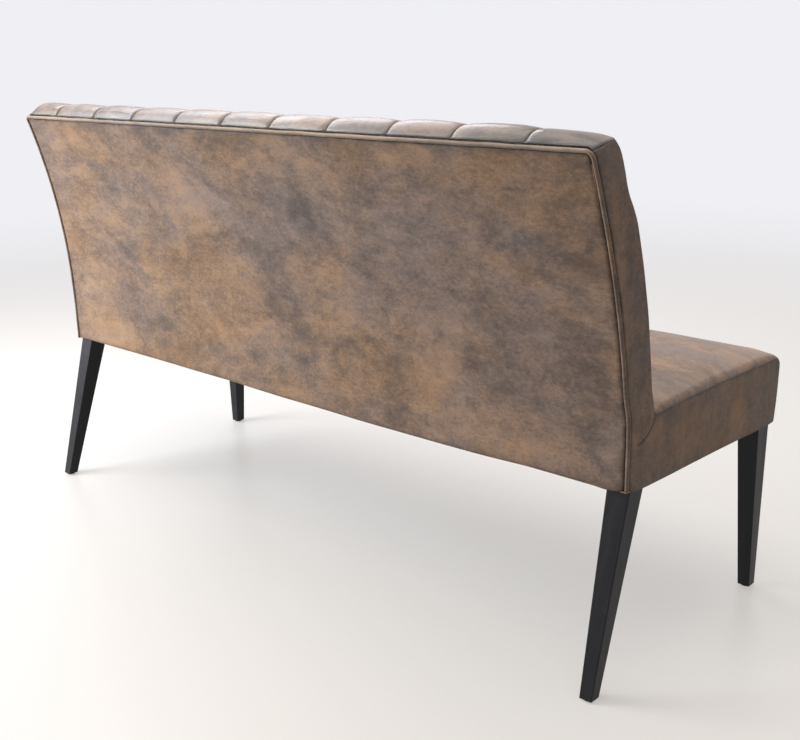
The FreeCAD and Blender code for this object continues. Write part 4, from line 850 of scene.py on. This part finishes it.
def back_place(u, v, settle):
    """The channelled back: u along X, v from the tuck up and over the top to the piping."""
    height, angle, reach = back_section(v)
    direction = Vector((0, -math.cos(angle), math.sin(angle)))
    side = side_of(u - 0.5)
    end = Vector((0, FAN_Y, height)) + direction * reach
    radius = corner_round(end.y, side) if angle else EDGE_ROUND
    sharp_half = half_length(end.z, side)
    half = sharp_half - SEAM_SHARE * radius
    x = channel_x(u, half)
    share = angle / FAN_END
    rise = mix(RIGHT_RISE, LEFT_RISE, smooth(-0.7, 0.3, x)) * math.sin(math.pi * share ** RISE_SKEW)
    raised, to_seam = channel_swell(x, half, angle, rise)
    to_end = half - abs(x)
    if angle == 0 and height < SEAT_PRESS_Z:
        raised *= mix(1, SEAT_PRESS, smooth(SEAT_PRESS_Z, JOIN_Z, height))
    groove = mix(*TOP_GROOVES, share) if angle else GROOVE_DEPTH
    raised -= groove * ridge(to_seam, GROOVE_WIDTH, 1.4) + top_fold(x, angle)
    point = Vector((x + seam_drift(x, half, share), FAN_Y, height)) + direction * (reach + raised)
    fall = direction if angle < math.pi / 2 else Vector((0, 0, 1))
    point -= fall * (rounded(sharp_half - abs(x), radius) + seam_dip(to_end))
    if angle > math.pi / 2:
        roll, near_end = cord_roll(end.y, end.z), fade(to_end, 0.005)
        point -= Vector((side * 0.7 * near_end, 0, 0.8 - 0.1 * near_end)) * roll
    away = smooth(0, 0.03, min(to_end, to_seam + 0.008))
    point += direction * away * hollows(point, BACK_HOLLOWS)
    if angle == 0:
        sunk = max(TUCK_Z - height, 0) / TUCK_RADIUS
        point.y += 0.010 * max(sunk - 0.3, 0)
    point += settle(u, v) * away * mix(1, 0.4, share)
    return point, back_marks(x, height, angle, reach, to_seam, to_end, away)


# How the cloth of a panel settles over its filling

SETTLE_FRAMES = 20
EVEN_PASSES = 3
EVEN_SHARE = 0.6
SETTLE_CLOTH = {"quality": 5, "mass": 0.3, "tension_stiffness": 12, "compression_stiffness": 12,
                "shear_stiffness": 4, "bending_stiffness": 2, "vertex_group_mass": "sewn",
                "shrink_min": -0.025, "use_pressure": True, "uniform_pressure_force": 4}


def at_rest(u, v):
    return Vector()


def settled(place, columns, rows, sewn, cap):
    """Blow a panel's cloth up over its filling, held at its seams; gives each place's move outwards."""
    bm = sewn_grid(columns, rows, lambda u, v: place(u, v, at_rest))
    face_out(bm, lambda middle: Vector((0, middle.y - 0.24, middle.z - 0.4)))
    starts = [(vert.co.copy(), vert.normal.copy()) for vert in bm.verts]
    mesh = mesh_from(bm, "settling")
    panel = linked("settling", mesh)
    held = panel.vertex_groups.new(name="sewn")
    held.add([index for index in range(len(starts)) if sewn(index % (columns + 1), index // (columns + 1))],
             1.0, "REPLACE")
    cloth = panel.modifiers.new("cloth", "CLOTH")
    for key, setting in SETTLE_CLOTH.items():
        setattr(cloth.settings, key, setting)
    cloth.settings.effector_weights.gravity = 0
    for number in range(1, SETTLE_FRAMES + 1):
        scene.frame_set(number)
    shape = panel.evaluated_get(bpy.context.evaluated_depsgraph_get()).to_mesh()
    moves = [normal * min(max((vert.co - start).dot(normal), 0), cap)
             for vert, (start, normal) in zip(shape.vertices, starts)]
    bpy.data.objects.remove(panel)
    bpy.data.meshes.remove(mesh)
    scene.frame_set(1)

    def evened(index, move):
        row, column = divmod(index, columns + 1)
        if sewn(column, row):
            return Vector()
        near = moves[index - 1] + moves[index + 1] + moves[index - columns - 1] + moves[index + columns + 1]
        return move.lerp(near / 4, EVEN_SHARE)

    for number in range(EVEN_PASSES):
        moves = [evened(index, move) for index, move in enumerate(moves)]

    def settle(u, v):
        along, up = min(u * columns, columns - 1e-6), min(v * rows, rows - 1e-6)
        column, row = int(along), int(up)
        first = row * (columns + 1) + column
        low = moves[first].lerp(moves[first + 1], along - column)
        high = moves[first + columns + 1].lerp(moves[first + columns + 2], along - column)
        return low.lerp(high, up - row)

    return settle


# Channelled back, from the tuck over the top to the piping

SETTLE_COLUMNS, SETTLE_ROWS = 8, 64
TOP_LOW_Z = 0.86
back_settle = settled(back_place, CHANNELS * SETTLE_COLUMNS, SETTLE_ROWS,
                      lambda column, row: column % SETTLE_COLUMNS == 0 or row in (0, SETTLE_ROWS),
                      cap=0.002)
bm = sewn_grid(CHANNELS * CHANNEL_COLUMNS, BACK_ROWS, lambda u, v: back_place(u, v, back_settle))
face_out(bm, lambda place: Vector((0, place.y - FAN_Y, place.z - TOP_LOW_Z)).normalized()
         if place.z > TOP_LOW_Z else Vector((0, -1, 0)))
back_panel = piece_from(bm, "channelled_back", top_fabric)
thicken(back_panel)
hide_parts("back_cover")

# Seat top and front

SEAT_ROUND = 0.0035
SEAT_INSET = SEAM_SHARE * SEAT_ROUND
SHOULDER_WIDTH = 0.012
RISE_WIDTH = 0.034
SEAT_TAIL = 0.030


def back_face_y(x):
    """Where the back's front face stands at the height of the seat's rear."""
    half = half_length(JOIN_Z, side_of(x)) - SEAM_SHARE * EDGE_ROUND
    return end_front_y(JOIN_Z) - SEAT_PRESS * channel_swell(x, half, 0.0, 0)[0]


def seat_place(u, v, settle):
    """Seat panel from the front hem over the round front corner and the crown to the tuck."""
    half = END_X - SEAT_INSET
    x = (2 * eased(u, 0.95) - 1) * half
    to_end = half - abs(x)
    run = v * (SEAT_LENGTH + SEAT_TAIL)
    place, shoulder, rise, outward = seat_line(min(run, SEAT_LENGTH), SEAT_INSET)
    place = place + outward * (shoulder * math.sqrt(1 - (1 - min(to_end / SHOULDER_WIDTH, 1)) ** 2))
    y, z = place.x, place.y + rise * (1 - fade(to_end, RISE_WIDTH))
    y -= smooth(0.0, JOIN_Y, y) * (JOIN_Y - back_face_y(x) + 0.0006)
    if run > SEAT_LENGTH:
        tail = (run - SEAT_LENGTH) / SEAT_TAIL
        y += 0.004 * tail
        z -= SEAT_TAIL * tail
        outward = Vector((0.3, 0.95))
    full = smooth(0.002, 0.05, to_end)
    lift = full * hollows((x, y, z), SEAT_HOLLOWS) - 0.0006 * fade(to_end, 0.0010)
    point = Vector((x, y, z)) + Vector((0, outward.x, outward.y)) * lift
    point += settle(u, v) * full
    to_tuck = SEAT_LENGTH - run
    # Grime and painted shade by the end seams, painted shade into the tuck and at the hem
    dirt_and_painted_shade = 0.7 * fade(to_end, 0.0008) + 0.10 * fade(to_end, 0.006)
    dirt_and_painted_shade += fade(max(to_tuck, 0), 0.010) + 0.4 * fade(run, 0.004)
    wear_and_highlight = 0.75 * smooth(0.004, 0.012, to_end) * smooth(0.080, 0.020, to_end) * smooth(0.10, 0.16, run)
    return point, (min(dirt_and_painted_shade, 1), wear_and_highlight * smooth(0, 0.05, to_tuck), run)


SEAT_COLUMNS, SEAT_ROWS = 266, 130
SEAT_SETTLE_COLUMNS, SEAT_SETTLE_ROWS = 72, 40
SEAT_HEM_TOP_Z = 0.3375
seat_settle = settled(seat_place, SEAT_SETTLE_COLUMNS, SEAT_SETTLE_ROWS,
                      lambda column, row: column in (0, SEAT_SETTLE_COLUMNS) or row in (0, SEAT_SETTLE_ROWS),
                      cap=0.004)
bm = sewn_grid(SEAT_COLUMNS, SEAT_ROWS, lambda u, v: seat_place(u, v, seat_settle))
hem_edges = edges_where(bm, lambda place: place.z < SEAT_HEM_TOP_Z and place.y < 0)
fold_hem(bm, hem_edges, Vector((0, 1, 0)), 0.012)
face_out(bm, lambda place: Vector((0, place.y, place.z - 0.38)).normalized())
seat_panel = piece_from(bm, "seat_top_and_front", seat_fabric)
thicken(seat_panel)
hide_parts("seat_cover")

# End panels, seat side and back end in one

SIDE_COLUMNS, END_COLUMNS = 150, 48
LOW_ROWS = 56
END_ROWS = LOW_ROWS + 110
CREASE_RADIUS = 0.0021
CREASE_SINK = 0.0055
BACK_OVER = 0.0022


def tuck_crease(place):
    """The tuck's crease runs on from the back's front edge in a quarter round; the back stands over it."""
    away = place - Vector((TUCK_Y, TUCK_Z))
    angle = math.atan2(-away.y, -away.x)
    if not -0.1 < angle < 1.7:
        return 0, 0
    fading = smooth(0.2, 0.42, angle) * (1 - smooth(1.15, 1.62, angle))
    beyond = away.length - TUCK_RADIUS
    over = fading * (smooth(-0.030, -0.004, beyond) if beyond < 0 else 0)
    return fading * ridge(beyond, CREASE_RADIUS), over


def end_piece_place(place, side, sink, line, run, drop=0):
    """A point of an end panel, from how far it is sunk at its edges, and its marks."""
    y, z = place
    crease, over = tuck_crease(place)
    near_edge = min(sink / 0.002, 1)
    swell = hollows((0, y, z), END_HOLLOWS[side])
    x = half_length(z, side) - sink + (1 - near_edge) * swell + BACK_OVER * over - CREASE_SINK * crease
    # Grime and painted shade along the seams, painted shade in the tuck's crease and at the hem
    dirt_and_painted_shade = line + crease + 0.4 * fade(z - hem_z(y), 0.004)
    return Vector((x, y, z - drop)), (min(dirt_and_painted_shade, 1), 0, run)


def seat_side_place(u, v, side):
    """The seat side before the back: u from the front seam rearwards, v up to the top seam."""
    share, up = eased(u, 0.6), eased(v, 0.6)
    top_run = mix(CORNER_RUN, SEAT_LENGTH, share)
    front, corner, hem_front = (seat_line(run, SEAT_INSET)[0] for run in (CORNER_RUN * up, CORNER_RUN, 0))
    hem_rear, rear_top = Vector((JOIN_Y, hem_z(JOIN_Y))), Vector((JOIN_Y, JOIN_Z - SEAT_INSET))
    top = seat_line(top_run, SEAT_INSET)[0] if share < 1 else rear_top
    rear = hem_rear.lerp(rear_top, up)
    hem_y = mix(hem_front.x, JOIN_Y, share)
    hem = Vector((hem_y, hem_z(hem_y)))
    place = (hem.lerp(top, up) + front.lerp(rear, share)
             - hem_front.lerp(hem_rear, share).lerp(corner.lerp(rear_top, share), up))
    to_edge = seat_side_distance(place) if up > 0.55 or share < 0.12 else 1
    to_border = max(to_edge - SEAT_INSET, 0)
    # The seat side is painted a little darker all over, as painted shade, with grime and painted shade along
    # its seams
    line = 0.09 + 0.9 * fade(to_border, 0.0009) + 0.25 * fade(to_border, 0.005)
    sink = rounded(to_edge, SEAT_ROUND) + seam_dip(to_border)
    return end_piece_place(place, side, sink, line, top_run if up > 0.8 else place.y)


def back_end_place(u, v, side):
    """The end of the back down to the hem: u from its front edge to the piping, v upwards."""
    low_share = LOW_ROWS / END_ROWS
    inset, join_top = SEAM_SHARE * EDGE_ROUND, JOIN_Z - SEAT_INSET
    across = eased(u, 0.85)
    sharp_top = mix(EDGE_Z, REAR_EDGE_Z, across)
    if v <= low_share:
        z = mix(hem_z(mix(JOIN_Y, rear_y(0, HEM_Z), across)), join_top, eased(v / low_share, 0.6))
        front = JOIN_Y
    else:
        rough_y = mix(end_front_y(EDGE_Z), rear_y(0, REAR_EDGE_Z), across)
        top = sharp_top - SEAM_SHARE * corner_round(rough_y, side)
        z = mix(join_top, top, eased((v - low_share) / (1 - low_share), 0.7))
        front = end_front_y(z) + inset * smooth(join_top, JOIN_Z + 0.006, z)
    rear = rear_y(CORD_SIDE_DEPTH, z)
    y = mix(front, rear, across)
    to_cord = rear - y
    sink, near_top = cord_roll(y, z), 0
    # Grime and painted shade beside the piping and along the top and front seams
    line = 0.95 * fade(max(to_cord - 0.0015, 0), 0.0026) + 0.2 * fade(to_cord, 0.012)
    if z > JOIN_Z:
        radius = corner_round(y, side)
        to_top, to_front = sharp_top - z, y - end_front_y(z)
        to_border = max(to_top - SEAM_SHARE * radius, 0)
        border = min(max(to_front - inset, 0), to_border)
        near_top = fade(to_border, 0.005)
        sink = sink * (1 - 0.3 * near_top) + max(rounded(to_front, EDGE_ROUND), rounded(to_top, radius))
        sink += seam_dip(border)
        line += 0.8 * fade(border, 0.0011) + 0.15 * fade(border, 0.006)
    drop = 0.7 * near_top * cord_roll(y, z)
    return end_piece_place(Vector((y, z)), side, sink, min(line, 1), z, drop)


def end_panel(side_name, side):
    """Both parts of an end, joined at the tuck; they are laid on the left and mirrored for the right."""
    bm = sewn_grid(SIDE_COLUMNS, LOW_ROWS, lambda u, v: seat_side_place(u, v, side))
    mesh = mesh_from(sewn_grid(END_COLUMNS, END_ROWS, lambda u, v: back_end_place(u, v, side)), "join")
    bm.from_mesh(mesh)
    bpy.data.meshes.remove(mesh)
    bmesh.ops.remove_doubles(bm, verts=bm.verts[:], dist=0.0003)
    if side < 0:
        bmesh.ops.scale(bm, verts=bm.verts[:], vec=(-1, 1, 1))
    hem_edges = edges_where(bm, lambda place: place.z < hem_z(place.y) + 0.0006)
    fold_hem(bm, hem_edges, Vector((-side, 0, 0)), 0.010)
    face_out(bm, lambda place: Vector((side, 0, 0)))
    piece = piece_from(bm, "end_panel_" + side_name, end_fabric)
    thicken(piece)
    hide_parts("side_cover_" + side_name)


end_panel("left", 1)
end_panel("right", -1)

# Foam and padding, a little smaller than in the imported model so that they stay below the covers

FOAM_SHRINK = 0.004
PADDING_SHRINK = 0.0008


def foam_piece(node_name, shrink):
    node = frame["nodes"][node_name]
    bm = bmesh.new()
    bm.from_mesh(node.data)
    bmesh.ops.remove_doubles(bm, verts=bm.verts[:], dist=0.0001)
    bm.normal_update()
    for vert, normal in [(vert, vert.normal.copy()) for vert in bm.verts]:
        vert.co -= normal * shrink
        limit = half_length(vert.co.z, side_of(vert.co.x)) - COVER - 0.0008
        vert.co.x = math.copysign(min(abs(vert.co.x), limit), vert.co.x)
    piece = piece_from(bm, node_name + "_block", slot_materials["foam"])
    piece.data.polygons.foreach_set("use_smooth", [False] * len(piece.data.polygons))
    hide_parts(node_name)


for node_name in ("seat_foam", "back_foam"):
    foam_piece(node_name, FOAM_SHRINK)
for node_name in ("seat_front_padding", "seat_side_padding_left", "seat_side_padding_right",
                  "back_end_padding_left", "back_end_padding_right"):
    foam_piece(node_name, PADDING_SHRINK)

# The cloth below the seat

DUST_COLUMNS, DUST_ROWS = 120, 32
DUST_THICKNESS = 0.0006
DUST_SAG = 0.0035
NOTCH_X = dust_high.x - 0.036
NOTCH_FRONT_Y = dust_low.y + 0.048
NOTCH_REAR_Y = dust_high.y - 0.046


def dust_place(u, v):
    """The thin cloth under the frame: it sags a little between its staples."""
    x, y = mix(dust_low.x, dust_high.x, u), mix(dust_low.y, dust_high.y, v)
    inner = min(x - dust_low.x, dust_high.x - x, y - dust_low.y, dust_high.y - y)
    sag = DUST_SAG * smooth(0.04, 0.16, inner) * (1 + 0.25 * uneven((x, y, 0), 6, 21))
    ripple = 0.0006 * math.sin(x * 90) * fade(inner, 0.02)
    return Vector((x, y, dust_high.z - 0.0004 - sag + ripple * smooth(0, 0.01, inner))), (0, 0, 0)


def in_leg_notch(place):
    """The cloth is cut away round the four legs."""
    return abs(place.x) > NOTCH_X and (place.y < NOTCH_FRONT_Y or place.y > NOTCH_REAR_Y)


bm = sewn_grid(DUST_COLUMNS, DUST_ROWS, dust_place)
notched = [face for face in bm.faces if in_leg_notch(face.calc_center_median())]
bmesh.ops.delete(bm, geom=notched, context="FACES")
face_out(bm, lambda place: Vector((0, 0, -1)))
dust_area = cloth_area(bm)
dust_cloth = piece_from(bm, "dust_cloth", slot_materials["dust_cloth"])
thicken(dust_cloth, DUST_THICKNESS)
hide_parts("dust_cover")

# Floor, lights, camera

FLOOR_SEEN = (0.79, 0.765, 0.74, 1)
WALL_SEEN = (0.865, 0.865, 0.905, 1)
FLOOR_PAINT = (0.42, 0.41, 0.40, 1)
FLOOR_GLOW = 0.52
WORLD_COLOUR = (1.0, 0.86, 0.70, 1)
WORLD_STRENGTH = 0.20


def seen_ray(tree, *kinds):
    """1 for the rays that the camera sees directly or in a reflection."""
    rays = add(tree, "ShaderNodeLightPath")
    seen = rays.outputs["Is Camera Ray"]
    for kind in kinds:
        seen = math_node(tree, "MAXIMUM", seen, rays.outputs[kind])
    return seen


bm = bmesh.new()
bmesh.ops.create_circle(bm, cap_ends=True, segments=64, radius=40)
for vert in bm.verts:
    vert.co.z = -0.0005
floor = linked("studio_floor", mesh_from(bm, "studio_floor"))
floor_paint, tree, shader = shader_parts("pale_floor")
seen = seen_ray(tree, "Is Glossy Ray")
feed(tree, shader, **{"Roughness": 0.34, "Base Color": FLOOR_PAINT, "Specular IOR Level": 0.35,
                      "Emission Color": FLOOR_SEEN,
                      "Emission Strength": math_node(tree, "MULTIPLY", seen, FLOOR_GLOW)})
distance = add(tree, "ShaderNodeVectorMath", operation="LENGTH")
feed(tree, distance, Vector=add(tree, "ShaderNodeTexCoord").outputs["Object"])
far_off = spread(tree, distance.outputs["Value"], 1.6, 5.5)
wall_glow = add(tree, "ShaderNodeEmission")
feed(tree, wall_glow, Color=WALL_SEEN, Strength=1.0)
joined = add(tree, "ShaderNodeMixShader")
feed(tree, joined, i0=math_node(tree, "MULTIPLY", seen, far_off), i1=shader.outputs["BSDF"],
     i2=wall_glow.outputs["Emission"])
feed(tree, tree.nodes["Material Output"], Surface=joined.outputs["Shader"])
floor.data.materials.append(floor_paint)

world = bpy.data.worlds.new("studio")
scene.world = world
world.use_nodes = True
tree = world.node_tree
seen = seen_ray(tree, "Is Glossy Ray", "Is Transmission Ray")
feed(tree, tree.nodes["Background"], Color=blend_colour(tree, seen, WORLD_COLOUR, WALL_SEEN),
     Strength=spread(tree, seen, 0.0, 1.0, WORLD_STRENGTH, 1.0))


def area_light(name, place, target, size, power, colour):
    lamp = bpy.data.lights.new(name, "AREA")
    lamp.shape = "RECTANGLE"
    lamp.size, lamp.size_y = size
    lamp.energy = power
    lamp.color = colour
    item = linked(name, lamp)
    item.location = place
    item.rotation_euler = (Vector(target) - Vector(place)).to_track_quat("-Z", "Y").to_euler()


# As (name, place, target, size, power, colour)
for lamp in (("window_side", (2.0, 1.7, 1.5), (0.4, 0.25, 0.6), (1.4, 2.0), 90, (0.93, 0.96, 1.0)),
             ("far_strip", (1.7, -0.45, 2.4), (-0.1, 0.28, 0.9), (2.4, 0.6), 38, (0.90, 0.93, 1.0)),
             ("ceiling", (-0.2, 0.3, 3.2), (0, 0, 0.4), (3.0, 2.4), 62, (1.0, 0.94, 0.86))):
    area_light(*lamp)

camera_data = bpy.data.cameras.new("camera")
camera_data.sensor_width = 36
camera_data.lens = 51.57
camera = linked("camera", camera_data)
right = Vector((-0.730429, -0.682739, -0.01846))
up = Vector((0.177095, -0.21543, 0.960327))
back = Vector((-0.65963, 0.698181, 0.278266))
turn = Matrix((right, up, back)).transposed().to_4x4()
camera.matrix_world = Matrix.Translation((-1.7029, 1.6927, 1.0472)) @ turn
scene.camera = camera
scene.view_settings.view_transform = "Standard"

bpy.context.view_layer.update()
